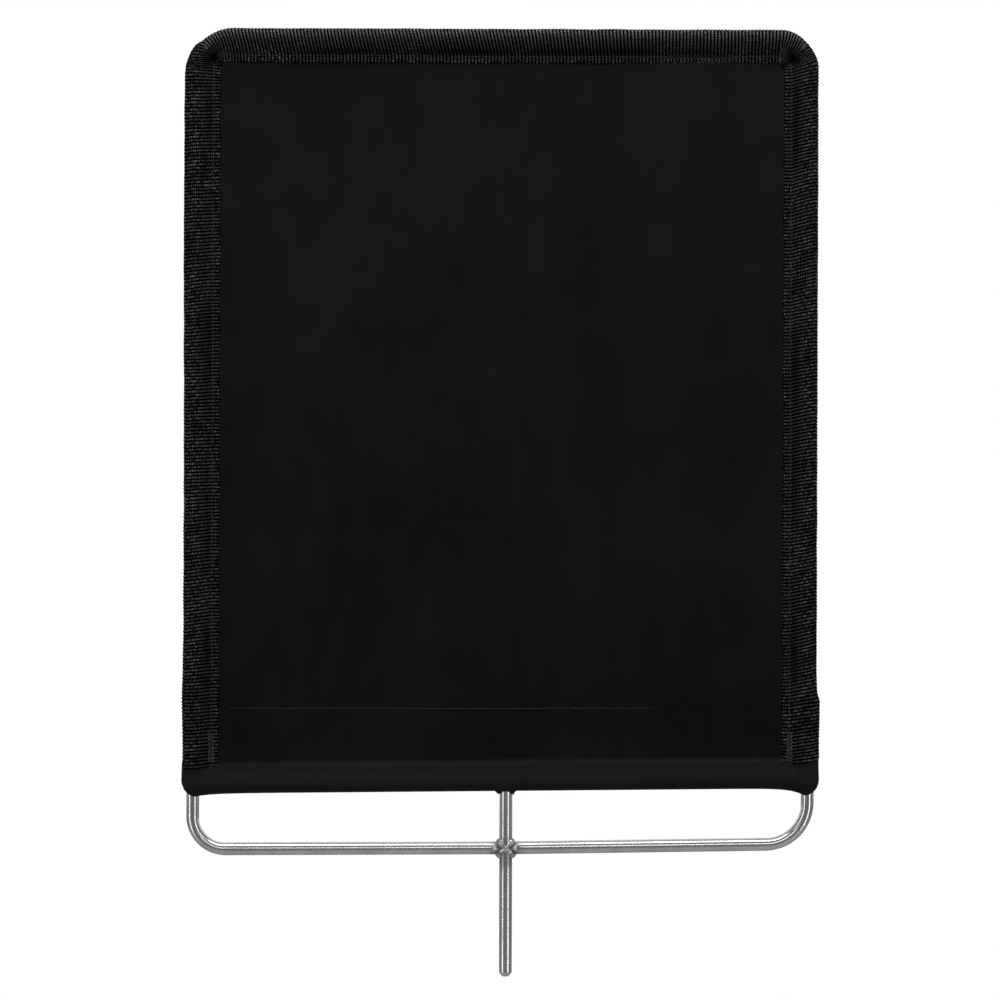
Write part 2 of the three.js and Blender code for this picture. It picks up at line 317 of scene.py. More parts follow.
def mapped_grid(
    columns: int,
    rows: int,
    place: Callable[[int, int], tuple[Vector, Vector]],
    left_out: Callable[[float, float], bool] | None = None,
) -> bmesh.types.BMesh:
    """Moves the vertices of a flat grid to where a formula puts them.

    Args:
        columns: Number of quads across.
        rows: Number of quads along.
        place: Gives the position and the LAID value of the vertex at a column and a row.
        left_out: Says of the column and row at a quad's middle whether it is cut away.

    Returns:
        The surface, with the vertices that meet merged.
    """
    bm = bmesh.new()
    laid = bm.verts.layers.float_vector.new(LAID)
    bmesh.ops.create_grid(bm, x_segments=columns, y_segments=rows, size=0.5)
    if left_out is not None:
        middles = ((face, face.calc_center_median()) for face in bm.faces)
        waste = [f for f, m in middles if left_out((m.x + 0.5) * columns, (m.y + 0.5) * rows)]
        bmesh.ops.delete(bm, geom=waste, context="FACES")
    for vert in bm.verts:
        column = round((vert.co.x + 0.5) * columns)
        row = round((vert.co.y + 0.5) * rows)
        vert.co, vert[laid] = place(column, row)
    bmesh.ops.remove_doubles(bm, verts=bm.verts, dist=MERGE)
    return bm


def close_ends(bm: bmesh.types.BMesh) -> None:
    """Caps the open ends of a tube and turns its faces outwards."""
    rims = [edge for edge in bm.edges if edge.is_boundary]
    bmesh.ops.holes_fill(bm, edges=rims, sides=0)
    bmesh.ops.recalc_face_normals(bm, faces=bm.faces)


def scatter_fibres(
    bm: bmesh.types.BMesh,
    roots: Iterable[tuple[Vector, Vector]],
    length: float,
    thickness: float,
    draw: random.Random,
) -> None:
    """Adds frayed fibres to a mesh: thin tapering needles that lean every way.

    Args:
        bm: The mesh that they join.
        roots: Where each fibre starts and the way it mostly points.
        length: Length of the longest fibre.
        thickness: Radius of a fibre at its root.
        draw: Source of the variation.
    """
    for root, way in roots:
        lean = Vector([draw.uniform(-0.6, 0.6) for _ in range(3)])
        aim = (way + lean).normalized()
        own = length * draw.uniform(0.35, 1.0)
        turn = aim.to_track_quat("Z", "Y").to_matrix().to_4x4()
        bmesh.ops.create_cone(
            bm,
            cap_ends=True,
            segments=5,
            radius1=thickness,
            radius2=thickness * 0.3,
            depth=own,
            matrix=Matrix.Translation(root + aim * own * 0.4) @ turn,
        )


def link(name: str, data: bpy.types.ID) -> bpy.types.Object:
    """Puts a mesh, a light or a camera into the scene as a new object."""
    made = bpy.data.objects.new(name, data)
    bpy.context.scene.collection.objects.link(made)
    return made


def make_piece(
    name: str,
    bm: bmesh.types.BMesh,
    material: bpy.types.Material,
    slot: Slot,
    *nodes: str,
) -> bpy.types.Object:
    """Turns a mesh into a piece of the flag that stands for CAD nodes.

    Args:
        name: The piece's name.
        bm: Its mesh, which is used up.
        material: Its finish.
        slot: Not used.
        nodes: The CAD nodes that it replaces.

    Returns:
        The piece, riding on the root body.
    """
    mesh = bpy.data.meshes.new(name)
    bm.to_mesh(mesh)
    bm.free()
    mesh.shade_smooth()
    mesh.materials.append(material)
    piece = link(name, mesh)
    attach(piece, "root")
    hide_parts(*nodes)
    log.info("%s: %d vertices, %d faces", name, len(mesh.vertices), len(mesh.polygons))
    return piece


# ---- Shader maths


class Wire:
    """A socket in an expression: each operator on it adds a Math node."""

    def __init__(self, shading: "Shading", socket: bpy.types.NodeSocket) -> None:
        """Wraps a socket of a node tree."""
        self.shading = shading
        self.socket = socket

    def _math(self, operation: str, *values: Any) -> "Wire":
        """Adds a Math node on the given values."""
        return self.shading.node("ShaderNodeMath", {"operation": operation}, dict(enumerate(values)))

    def __add__(self, other: Any) -> "Wire":
        """Sum."""
        return self._math("ADD", self, other)

    __radd__ = __add__

    def __sub__(self, other: Any) -> "Wire":
        """Difference."""
        return self._math("SUBTRACT", self, other)

    def __rsub__(self, other: Any) -> "Wire":
        """Difference from a number."""
        return self._math("SUBTRACT", other, self)

    def __mul__(self, other: Any) -> "Wire":
        """Product."""
        return self._math("MULTIPLY", self, other)

    def sine(self) -> "Wire":
        """Sine."""
        return self._math("SINE", self)

    def size(self) -> "Wire":
        """Absolute value."""
        return self._math("ABSOLUTE", self)

    def most(self, other: Any) -> "Wire":
        """The larger of two."""
        return self._math("MAXIMUM", self, other)

    def least(self, other: Any) -> "Wire":
        """The smaller of two."""
        return self._math("MINIMUM", self, other)


class Shading:
    """A node tree under construction."""

    def __init__(self, tree: bpy.types.NodeTree) -> None:
        """Empties a node tree and starts on it."""
        self.tree = tree
        tree.nodes.clear()

    def node(
        self,
        kind: str,
        settings: dict[str, Any] | None = None,
        values: dict[int | str, Any] | None = None,
        output: int | str = 0,
    ) -> Wire:
        """Adds any node.

        Args:
            kind: The node's type.
            settings: Its properties, set before its sockets.
            values: A value or a wire for each of its sockets, by index or name.
            output: The output that is wanted.

        Returns:
            That output as a wire.
        """
        node = self.tree.nodes.new(kind)
        for key, value in (settings or {}).items():
            setattr(node, key, value)
        for key, value in (values or {}).items():
            if isinstance(value, Wire):
                self.tree.links.new(value.socket, node.inputs[key])
            else:
                node.inputs[key].default_value = value
        return Wire(self, node.outputs[output])

    def end(self, kind: str, surface: Wire) -> None:
        """Adds the output node that a surface ends in."""
        output = self.tree.nodes.new(kind)
        self.tree.links.new(surface.socket, output.inputs["Surface"])

    def laid(self) -> Wire:
        """The place of a surface point on its straightened piece."""
        return self.node("ShaderNodeAttribute", {"attribute_name": LAID}, output="Vector")

    def place(self) -> Wire:
        """The place of a surface point in the part's own frame."""
        return self.node("ShaderNodeTexCoord", output="Object")

    def parts(self, vector: Wire) -> tuple[Wire, Wire, Wire]:
        """The x, y and z of a vector."""
        x = self.node("ShaderNodeSeparateXYZ", values={0: vector})
        outputs = x.socket.node.outputs
        return x, Wire(self, outputs[1]), Wire(self, outputs[2])

    def noise(self, vector: Wire, scale: Sequence[float] | float, detail: float = 2.0) -> Wire:
        """Noise, about 0.25 to 0.75, at a scale in cells a metre for all or each of the axes."""
        each = (scale,) * 3 if isinstance(scale, (int, float)) else tuple(scale)
        scaled = self.node("ShaderNodeVectorMath", {"operation": "MULTIPLY"}, {0: vector, 1: each})
        settings = {"noise_dimensions": "3D"}
        return self.node("ShaderNodeTexNoise", settings, {"Vector": scaled, "Scale": 1.0, "Detail": detail})

    def ramp(self, value: Wire, low: float, high: float, start: float = 0.0, end: float = 1.0) -> Wire:
        """Smooth map of a value from low..high to start..end."""
        settings = {"interpolation_type": "SMOOTHSTEP"}
        values = {"Value": value, "From Min": low, "From Max": high, "To Min": start, "To Max": end}
        return self.node("ShaderNodeMapRange", settings, values)

    def distance(self, vector: Wire, centre: Sequence[float]) -> Wire:
        """Distance of a place from a centre."""
        values = {0: vector, 1: tuple(centre)}
        return self.node("ShaderNodeVectorMath", {"operation": "DISTANCE"}, values, "Value")

    def blend(self, share: Wire | float, first: Any, second: Any) -> Wire:
        """A colour between two."""
        colours = [(*c, 1.0) if isinstance(c, tuple) else c for c in (first, second)]
        return self.node("ShaderNodeMix", {"data_type": "RGBA"}, {0: share, 6: colours[0], 7: colours[1]}, 2)

    def bump(self, height: Wire, depth: float, strength: float = 1.0) -> Wire:
        """A normal shaded as if the surface rose by depth metres where height is 1."""
        values = {"Height": height, "Distance": depth, "Strength": strength}
        return self.node("ShaderNodeBump", values=values, output="Normal")

    def principled(self, values: dict[str, Any]) -> Wire:
        """The usual shader, with a value or a wire for each socket named."""
        return self.node("ShaderNodeBsdfPrincipled", values=values)


class Finish:
    """A surface that pieces are dressed in."""

    name: str

    def surface(self, shading: Shading) -> Wire:
        """Adds the finish's nodes and gives the shader that they end in."""
        raise NotImplementedError

    def material(self) -> bpy.types.Material:
        """The finish as a new material."""
        material = bpy.data.materials.new(self.name)
        material.use_nodes = True
        shading = Shading(material.node_tree)
        shading.end("ShaderNodeOutputMaterial", self.surface(shading))
        return material


@dataclass(frozen=True)
class DrawnSteel(Finish):
    """Bright drawn mild steel, with fine lines along it, a thin dark film and heat marks."""

    name: str = "drawn_steel"
    bright: tuple[float, float, float] = (0.60, 0.595, 0.585)
    filmed: tuple[float, float, float] = (0.30, 0.295, 0.285)
    heated: tuple[float, float, float] = (0.10, 0.095, 0.09)
    roughness: float = 0.225
    heat_centre: tuple[float, float, float] = (0.0, 0.0, 0.0)
    heat_reach: float = 14 * MM

    def surface(self, shading: Shading) -> Wire:
        """Adds the finish's nodes and gives the shader that they end in."""
        laid = shading.laid()
        fine = shading.noise(laid, (2900.0, 2900.0, 16.0), 3.0)
        broad = shading.noise(laid, (420.0, 420.0, 5.0), 1.0)
        cloudy = shading.noise(shading.place(), 70.0, 4.0)
        specks = shading.ramp(shading.noise(shading.place(), 500.0, 2.0), 0.68, 0.76)
        film = shading.ramp(cloudy * 0.6 + broad * 0.4, 0.44, 0.62)
        near = shading.distance(shading.place(), self.heat_centre)
        heat = shading.ramp(near, self.heat_reach * 0.45, self.heat_reach * 1.25, 1.0, 0.0)
        colour = shading.blend(film * 0.3, self.bright, self.filmed)
        colour = shading.blend(shading.ramp(fine, 0.42, 0.66) * 0.1, colour, self.filmed)
        colour = shading.blend((heat * 0.6).most(specks * 0.2), colour, self.heated)
        roughness = self.roughness + (broad - 0.5) * 0.10 + film * 0.05 + heat * 0.12
        values = {
            "Base Color": colour,
            "Metallic": 1.0,
            "Roughness": roughness,
            "Normal": shading.bump(broad, 0.0012 * MM, 0.4),
        }
        return shading.principled(values)


@dataclass(frozen=True)
class WeldMetal(Finish):
    """A brushed-off weld: lumpy grey metal with dark scale left in its hollows."""

    name: str = "weld_metal"
    bright: tuple[float, float, float] = (0.50, 0.49, 0.475)
    scale_colour: tuple[float, float, float] = (0.16, 0.155, 0.15)

    def surface(self, shading: Shading) -> Wire:
        """Adds the finish's nodes and gives the shader that they end in."""
        lumps = shading.noise(shading.place(), 420.0, 4.0)
        grain = shading.noise(shading.place(), 2600.0, 3.0)
        scale = shading.ramp(lumps, 0.46, 0.62)
        colour = shading.blend(scale * 0.8, self.bright, self.scale_colour)
        values = {
            "Base Color": colour,
            "Metallic": 1.0,
            "Roughness": 0.30 + scale * 0.25 + (grain - 0.5) * 0.2,
            "Normal": shading.bump(lumps + grain * 0.2, 0.12 * MM, 0.7),
        }
        return shading.principled(values)


@dataclass(frozen=True)
class NappedCloth(Finish):
    """Flame-proofed black cotton with a short brushed nap, which lies unevenly."""

    name: str = "napped_cloth"
    dark: tuple[float, float, float] = (0.0022, 0.0022, 0.0023)
    light: tuple[float, float, float] = (0.0052, 0.0052, 0.0051)
    # Painted light: a lighter colour laid over the sleeve, most on its upward face, and faintly over the
    # upper panel.
    painted_light: tuple[float, float, float] = (0.0110, 0.0109, 0.0107)
    thread_pitch: float = 0.55 * MM

    def surface(self, shading: Shading) -> Wire:
        """Adds the finish's nodes and gives the shader that they end in."""
        place = shading.place()
        clouds = shading.noise(place, (11.0, 11.0, 8.0), 4.0)
        smears = shading.noise(place, (60.0, 60.0, 24.0), 5.0)
        nap = shading.noise(place, 1500.0, 3.0)
        across, along, painted_light_share = shading.parts(shading.laid())
        turn = 2 * math.pi / self.thread_pitch
        weave = (across * turn).sine() * (along * turn).sine()
        tone = shading.ramp(clouds * 0.62 + smears * 0.30 + nap * 0.08, 0.38, 0.62)
        values = {
            # Painted light lifts the base colour towards the lighter colour by the laid third value.
            "Base Color": shading.blend(painted_light_share * 0.9, shading.blend(tone, self.dark, self.light), self.painted_light),
            "Roughness": 0.72,
            "Specular IOR Level": 0.08,
            "Sheen Weight": 0.03,
            "Sheen Roughness": 0.45,
            "Normal": shading.bump(nap + weave * 0.12 + smears * 0.5, 0.18 * MM, 0.6),
        }
        return shading.principled(values)


@dataclass(frozen=True)
class RibbedWebbing(Finish):
    """Black ribbed webbing: shiny warp yarns that cross thick ribs, with painted shade in the grooves between
    and painted highlights on the rib crests and yarn tops.
    """

    name: str = "ribbed_webbing"
    # The groove colour is painted shade for the grooves between ribs. The crest colour is the yarn's own
    # black lifted by a painted highlight on the rib tops.
    groove: tuple[float, float, float] = (0.0004, 0.0004, 0.0004)
    crest: tuple[float, float, float] = (0.105, 0.105, 0.107)
    rib_pitch: float = 2.54 * MM
    yarn_pitch: float = 1.35 * MM

    def surface(self, shading: Shading) -> Wire:
        """Adds the finish's nodes and gives the shader that they end in."""
        laid = shading.laid()
        across, along, painted_shade_and_light = shading.parts(laid)
        rib = (along * (math.pi / self.rib_pitch)).sine().size()
        strand = (across * (math.pi / self.yarn_pitch)).sine().size()
        uneven = shading.noise(laid, (330.0, 330.0, 330.0), 3.0)
        worn = shading.noise(laid, (70.0, 70.0, 70.0), 3.0)
        fuzz = shading.noise(shading.place(), 3200.0, 2.0)
        dots = shading.noise(laid, (900.0, 380.0, 380.0), 1.0)
        # Painted light and shade: the colour runs from painted shade in the grooves to painted highlights on
        # the rib crests, brightest on the yarn tops.
        body = shading.ramp(rib, 0.42, 0.98) * (0.22 + strand * 0.78)
        tone = body * shading.ramp(uneven, 0.34, 0.62, 0.4, 1.0) * shading.ramp(worn, 0.3, 0.7, 0.6, 1.1)
        # The laid third value darkens the colour with painted shade in the corner tucks and beside the seam.
        # It lightens the colour with painted light on the top strip's upper face.
        tone = tone * shading.ramp(dots, 0.36, 0.66, 0.45, 1.25) * (1.0 - painted_shade_and_light)
        normal = shading.bump(strand * rib + fuzz * 0.3 + uneven * 0.6, 0.22 * MM, 0.8)
        yarn = {
            "Base Color": shading.blend(tone, self.groove, self.crest),
            "Roughness": 0.46 + (fuzz - 0.5) * 0.3,
            "Specular IOR Level": 0.6,
            "Normal": normal,
        }
        # Lit and shaded copies of the yarn, mixed by the painted tone. The shaded copy is painted shade with
        # no shine.
        shade = {"Base Color": (*self.groove, 1.0), "Roughness": 1.0, "Specular IOR Level": 0.0}
        lit, dark = shading.principled(yarn), shading.principled(shade)
        return shading.node("ShaderNodeMixShader", values={0: tone.least(1.0), 1: dark, 2: lit})


@dataclass(frozen=True)
class SewingThread(Finish):
    """Heavy black polyester thread with a slight gloss."""

    name: str = "sewing_thread"
    dark: tuple[float, float, float] = (0.004, 0.004, 0.004)
    light: tuple[float, float, float] = (0.022, 0.022, 0.0225)

    def surface(self, shading: Shading) -> Wire:
        """Adds the finish's nodes and gives the shader that they end in."""
        twist = shading.noise(shading.place(), 2400.0, 2.0)
        values = {
            "Base Color": shading.blend(shading.ramp(twist, 0.4, 0.6), self.dark, self.light),
            "Roughness": 0.42 + (twist - 0.5) * 0.3,
            "Normal": shading.bump(twist, 0.1 * MM, 0.6),
        }
        return shading.principled(values)


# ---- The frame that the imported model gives


@dataclass
class Layout:
    """Driving places of the flag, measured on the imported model, and the bends of its loop."""

    bend_bottom_left: float = 24 * MM
    bend_top_left: float = 30 * MM
    bend_top_right: float = 22 * MM
    bend_bottom_right: float = 31 * MM
    rail_height: float = 95 * MM
    rail_rise_left: float = -1.6 * MM
    rail_rise_right: float = 3.8 * MM

    def __post_init__(self) -> None:
        """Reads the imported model's boxes."""
        low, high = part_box("frame_rod")
        self.rod_radius = (high.y - low.y) / 2
        self.left = low.x + self.rod_radius
        self.right = high.x - self.rod_radius
        self.top = high.z - self.rod_radius
        low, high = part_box("crossbar")
        self.crossbar_left = low.z + self.rod_radius
        self.crossbar_right = high.z - self.rod_radius
        self.webbing_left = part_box("webbing_left")[0].z
        self.webbing_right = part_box("webbing_right")[0].z
        self.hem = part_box("thread_hem_upper_front")[1].z + 0.9 * MM
        self.loop = Route(
            [
                Vector((0.0, 0.0, self.rail_height)),
                Vector((self.left, 0.0, self.rail_height + self.rail_rise_left)),
                Vector((self.left, 0.0, self.top)),
                Vector((self.right, 0.0, self.top)),
                Vector((self.right, 0.0, self.rail_height + self.rail_rise_right)),
                Vector((0.0, 0.0, self.rail_height)),
            ],
            [self.bend_bottom_left, self.bend_top_left, self.bend_top_right, self.bend_bottom_right],
        )

    @property
    def scorch(self) -> tuple[float, float, float]:
        """Middle of the heat marks that the rail's welds have left on the rods."""
        return (0.0, 0.0, self.rail_height - 3 * MM)

    @property
    def slope(self) -> float:
        """Rise of the crossbar for each metre to the right."""
        return (self.crossbar_right - self.crossbar_left) / (self.right - self.left)

    def crossbar(self, x: float) -> float:
        """Height of the crossbar's centre line."""
        return self.crossbar_left + self.slope * (x - self.left)

    def along_left(self, height: float) -> float:
        """Distance along the loop of a height on its left side."""
        return self.loop.bends[1][0] - (self.top - self.bend_top_left - height)

    def along_right(self, height: float) -> float:
        """Distance along the loop of a height on its right side."""
        return self.loop.bends[2][1] + (self.top - self.bend_top_right - height)


# ---- Steelwork


@dataclass
class Steelwork:
    """The bent loop, the crossbar, the pin and the welds between them."""

    layout: Layout
    steel: bpy.types.Material
    weld_metal: bpy.types.Material
    sides: int = 56
    cope: float = 3.6 * MM
    stride: float = 9 * MM
    bend_stride: float = 1.2 * MM
    tip_radius: float = 2.4 * MM
    tip_height: float = 3 * MM
    bead: float = 2.9 * MM
    bead_sides: int = 20
    bead_steps: int = 96
    ripples: int = 15
    ripple_depth: float = 0.07
    unevenness: float = 0.16
    lumpiness: float = 0.22 * MM
    lump_scale: float = 420.0
    bevel: float = 0.25 * MM
    dent: float = 0.16 * MM
    ring_gap: float = 0.4 * MM

    def rod(self, name: str, route: Route, start: float, end: float) -> None:
        """Makes a round rod that stands for the CAD node it is named after.

        Args:
            name: The CAD node's name.
            route: Its centre line.
            start: Where the rod starts on it.
            end: Where the rod ends on it.
        """
        lengths = route.stations(start, end, self.stride, self.bend_stride)
        places = [self.flattened(route, length) for length in lengths]
        bm = sweep(places, self.layout.rod_radius, self.sides, lengths)
        close_ends(bm)
        make_piece(f"{name}_steel", bm, self.steel, Slot.ROD, name)

    def flattened(self, route: Route, length: float) -> Matrix:
        """Placement of the rod's section, which a bend flattens slightly."""
        inside = [
            ease(length, low, low + 6 * MM) * ease(length, high, high - 6 * MM)
            for low, high in route.bends
        ]
        bent = max(inside, default=0.0)
        squeeze = Matrix.Diagonal((1.0 + 0.012 * bent, 1.0 - 0.03 * bent, 1.0, 1.0))
        return route.at(length).matrix() @ squeeze

    def loop_rod(self) -> None:
        """Makes the bent loop, from one side of the pin round to the other."""
        loop = self.layout.loop
        self.rod("frame_rod", loop, self.cope, loop.length - self.cope)

    def crossbar(self) -> None:
        """Makes the straight bar across the loop."""
        layout = self.layout
        ends = [Vector((x, 0.0, layout.crossbar(x))) for x in (layout.left, layout.right)]
        route = Route(ends, [])
        self.rod("crossbar", route, self.cope, route.length - self.cope)

    def pin(self) -> None:
        """Makes the pin, with the edge of its lower end ground off by hand."""
        radius = self.layout.rod_radius
        height = self.layout.crossbar(0.0) - self.cope
        shares = [self.tip_radius / radius, 1.0]
        gap, taper = self.ring_gap, self.tip_height
        lengths = [0.0, taper, taper + gap, 0.5 * height, height - gap, height]
        route = Route([Vector((0.0, 0.0, 0.0)), Vector((0.0, 0.0, height))], [])
        places = [route.at(length).matrix(shares[min(i, 1)]) for i, length in enumerate(lengths)]
        bm = sweep(places, radius, self.sides, lengths)
        close_ends(bm)
        rims = [
            edge
            for edge in bm.edges
            if abs(edge.verts[0].co.z - edge.verts[1].co.z) < MERGE
            and edge.verts[0].co.z < self.tip_height + MERGE
        ]
        bmesh.ops.bevel(
            bm, geom=rims, offset=self.bevel, segments=2, profile=0.5, material=-1, affect="EDGES"
        )
        self.dent_tip(bm)
        make_piece("mounting_pin_steel", bm, self.steel, Slot.ROD, "mounting_pin")

    def dent_tip(self, bm: bmesh.types.BMesh) -> None:
        """Leaves the uneven facets of hand grinding round the pin's lower end."""
        for vert in bm.verts:
            depth = hump(vert.co.z, self.tip_height * 0.85, self.tip_height * 0.4)
            angle = math.atan2(vert.co.y, vert.co.x)
            dent = self.dent * depth * wander(2.4 * math.cos(angle), 2.4 * math.sin(angle), 3.3)
            vert.co.x += dent * math.cos(angle)
            vert.co.y += dent * math.sin(angle)

    def weld(
        self, node: str, joint: Vector, way: Vector, met: Vector, seed: float, share: float = 1.0
    ) -> None:
        """Makes the bead where a rod's end meets another rod of its own size.

        Args:
            node: The CAD node that the bead stands for.
            joint: Where the two centre lines meet.
            way: Direction of the welded rod, away from the joint.
            met: Direction of the rod that it meets.
            seed: Picks the bead's own unevenness.
            share: Size of the bead, as a share of the fullest.
        """
        radius = self.layout.rod_radius
        lift = met.cross(way).normalized()
        places, lengths, ring = [], [], []
        for step in range(self.bead_steps):
            angle = 2 * math.pi * step / self.bead_steps
            side = lift * (radius * math.sin(angle)) + met * (radius * math.cos(angle))
            reach = math.sqrt(max(radius**2 - (radius * math.sin(angle)) ** 2, 0.0))
            ring.append(joint + side + way * reach)
        for step, point in enumerate(ring):
            angle = 2 * math.pi * step / self.bead_steps
            along = (ring[(step + 1) % self.bead_steps] - ring[step - 1]).normalized()
            outward = (point - joint - along * (point - joint).dot(along)).normalized()
            turn = Matrix((outward, along.cross(outward), along)).transposed().to_4x4()
            corner = abs(math.cos(angle))
            ripple = 1.0 + self.ripple_depth * abs(math.sin(angle * self.ripples / 2))
            uneven = 1.0 + self.unevenness * wander(1.5 * math.cos(angle), 1.5 * math.sin(angle), seed)
            size = share * (0.55 + 0.85 * corner**1.5) * ripple * uneven
            sunk = point - outward * (0.25 + 0.3 * corner) * self.bead
            places.append(Matrix.Translation(sunk) @ turn @ Matrix.Diagonal((size, size, 1.0, 1.0)))
            lengths.append(radius * angle)
        bm = sweep([*places, places[0]], self.bead, self.bead_sides, [*lengths, 2 * math.pi * radius])
        bmesh.ops.remove_doubles(bm, verts=bm.verts, dist=MERGE)
        bmesh.ops.recalc_face_normals(bm, faces=bm.faces)
        for vert in bm.verts:
            spot = vert.co * self.lump_scale
            lump = self.lumpiness * wander(spot.x, spot.y, spot.z + seed)
            vert.co += (vert.co - joint).normalized() * lump
        make_piece(f"{node}_bead", bm, self.weld_metal, Slot.WELD, node)

    def welds(self) -> None:
        """Makes the five welds."""
        layout = self.layout
        loop = layout.loop
        joint = Vector((0.0, 0.0, layout.rail_height))
        along_bar = Vector((1.0, 0.0, layout.slope)).normalized()
        left_end = Vector((layout.left, 0.0, layout.crossbar(layout.left)))
        right_end = Vector((layout.right, 0.0, layout.crossbar(layout.right)))
        pin_top = Vector((0.0, 0.0, layout.crossbar(0.0)))
        self.weld("weld_rail_left", joint, loop.at(0.0).along, UP, 1.3)
        self.weld("weld_rail_right", joint, -loop.at(loop.length).along, UP, 5.9)
        self.weld("weld_crossbar_left", left_end, along_bar, UP, 9.1, 0.7)
        self.weld("weld_crossbar_right", right_end, -along_bar, UP, 12.7, 0.7)
        self.weld("weld_pin_crossbar", pin_top, -UP, along_bar, 4.2, 0.55)

    def build(self) -> None:
        """Makes all of the steelwork."""
        self.loop_rod()
        self.crossbar()
        self.pin()
        self.welds()


# ---- Webbing


@dataclass(frozen=True)
class Strip:
    """One length of webbing, with its own unevenness.

    start and end are distances along the loop. lean is how far a rib lags per distance across the
    webbing, and corner_lean is the same where both faces are skewed alike next to a lap. swell is
    how far the roll stands out, hidden is the length at a lap that has no seam, and the last share
    is painted light: how much lighter the top of the roll is painted, as if lit from overhead.
    """

    node: str
    start: float
    end: float
    lean: Callable[[float], float]
    corner_lean: Callable[[float], float]
    swell: Callable[[float], float]
    seed: int
    hidden: float
    # Painted light: how much lighter the top of the roll is painted.
    painted_light: float = 0.0
    frayed_start: bool = False
    frayed_end: bool = False


@dataclass
class Binding:
    """The webbing folded over the loop's sides and top, and what sews it down."""

    layout: Layout
    webbing: bpy.types.Material
    thickness: float = 1.35 * MM
    slack: float = 0.45 * MM
    reach: float = 19.6 * MM
    seam_inset: float = 13.6 * MM
    lip: float = 2.0 * MM
    pinch: float = 0.85 * MM
    rib_pitch: float = 2.54 * MM
    rib_height: float = 0.55 * MM
    rib_steps: int = 6
    outer_columns: int = 42
    inner_columns: int = 12
    corner_left: float = 3.0 * MM
    corner_right: float = 5.5 * MM
    corner_margin: float = 6.0 * MM
    lap_left: float = 0.45
    lap_right: float = 0.56
    lap: float = 3.5 * MM
    under_lap: float = 20 * MM
    gather: float = 0.85
    thick_below: float = 208 * MM
    step_height: float = 205 * MM
    proud_height: float = 552 * MM
    seam_width: float = 1.6 * MM
    curl: float = 0.35 * MM
    fibres: int = 90
    fibre_length: float = 2.6 * MM
    fibre_radius: float = 0.09 * MM

    def __post_init__(self) -> None:
        """Works out the section and the line of the inner edge."""
        layout = self.layout
        radius = layout.rod_radius + self.slack + self.thickness
        self.fold = Fold(radius, self.lip, self.seam_inset, 1.1 * MM)
        self.half = self.fold.to_seam + self.reach - self.seam_inset
        left, right = layout.left + self.reach, layout.right - self.reach
        top = layout.top - self.reach
        foot = layout.rail_height
        self.edge = Route(
            [
                Vector((left, 0.0, foot)),
                Vector((left, 0.0, top)),
                Vector((right, 0.0, top)),
                Vector((right, 0.0, foot)),
            ],
            [self.corner_left, self.corner_right],
        )
        self.knots = self.matching_knots()

    def matching_knots(self) -> list[tuple[float, float]]:
        """Distances along the loop, each with the distance along the inner edge that is level with it."""
        layout = self.layout
        loop = layout.loop
        margin = self.corner_margin
        foot = layout.rail_height
        bend_left, bend_right = loop.bends[1], loop.bends[2]
        heights = (layout.along_left(foot), layout.along_right(foot))
        top_left = self.edge.bends[0][1] + self.corner_reach(layout.bend_top_left, self.corner_left)
        top_right = self.edge.bends[1][0] - self.corner_reach(layout.bend_top_right, self.corner_right)
        side_left = layout.top - layout.bend_top_left - foot
        side_right = self.edge.length - (layout.top - layout.bend_top_right - foot)
        return [
            (heights[0], 0.0),
            *self.gathered(
                (bend_left[0] - margin, side_left - margin), (bend_left[1] + margin, top_left + margin), 0
            ),
            *self.gathered(
                (bend_right[0] - margin, top_right - margin), (bend_right[1] + margin, side_right + margin), 1
            ),
            (heights[1], self.edge.length),
        ]

    def gathered(
        self, before: tuple[float, float], after: tuple[float, float], corner: int
    ) -> list[tuple[float, float]]:
        """Knots through a corner, where the slack is tucked away next to the lap.

        Args:
            before: The knot before the corner: a distance along the loop and along the inner edge.
            after: The knot after the corner.
            corner: The corner's number.

        Returns:
            The knots from the first to the last.
        """
        middle = sum(self.edge.bends[corner]) / 2
        tuck = 1.0 * MM
        first = before[0] + (middle - tuck - before[1]) / self.gather
        last = after[0] - (after[1] - middle - tuck) / self.gather
        return [before, (first, middle - tuck), (self.meet(corner), middle), (last, middle + tuck), after]

    def meet(self, corner: int) -> float:
        """Distance along the loop at which the two strips of a top corner meet."""
        start, end = self.layout.loop.bends[corner + 1]
        return start + (self.lap_left, self.lap_right)[corner] * (end - start)

    def corner_middles(self) -> list[float]:
        """Distances along the loop of the middles of its two top bends."""
        return [(start + end) / 2 for start, end in self.layout.loop.bends[1:3]]

    def corner_reach(self, bend: float, corner: float) -> float:
        """Distance along the inner edge from the end of its own corner to the end of the rod's bend."""
        return bend - self.reach - corner

    def edge_at(self, distance: float) -> Vector:
        """The point of the inner edge that is level with a distance along the loop."""
        for (low, low_edge), (high, high_edge) in zip(self.knots, self.knots[1:]):
            if distance <= high:
                break
        share = (distance - low) / (high - low)
        return self.edge.at(low_edge + share * (high_edge - low_edge)).point

    def hollow(self, distance: float, inward: float) -> float:
        """Share of the strip's height lost where its slack is tucked in at a corner."""
        lost = 0.0
        for middle, depth in zip(self.corner_middles(), (0.55, 0.6)):
            lost += depth * hump(distance, middle, 12 * MM)
        return lost * hump(inward, 9 * MM, 5.5 * MM)

    def painted_shade_and_light(self, strip: Strip, distance: float, across: float) -> float:
        """Painted shade on the yarns in a corner tuck and beside the seam, less painted light on the top
        strip's upper face.
        """
        inward = self.fold.at(across).y
        tuck = 0.0
        # Painted shade deep in the corner tucks, where the slack is gathered.
        for corner in (0, 1):
            width = 3 * MM + 9 * MM * ease(inward, 16 * MM, 8 * MM)
            tuck = max(tuck, hump(distance, self.meet(corner), width) * ease(inward, 3 * MM, 9 * MM))
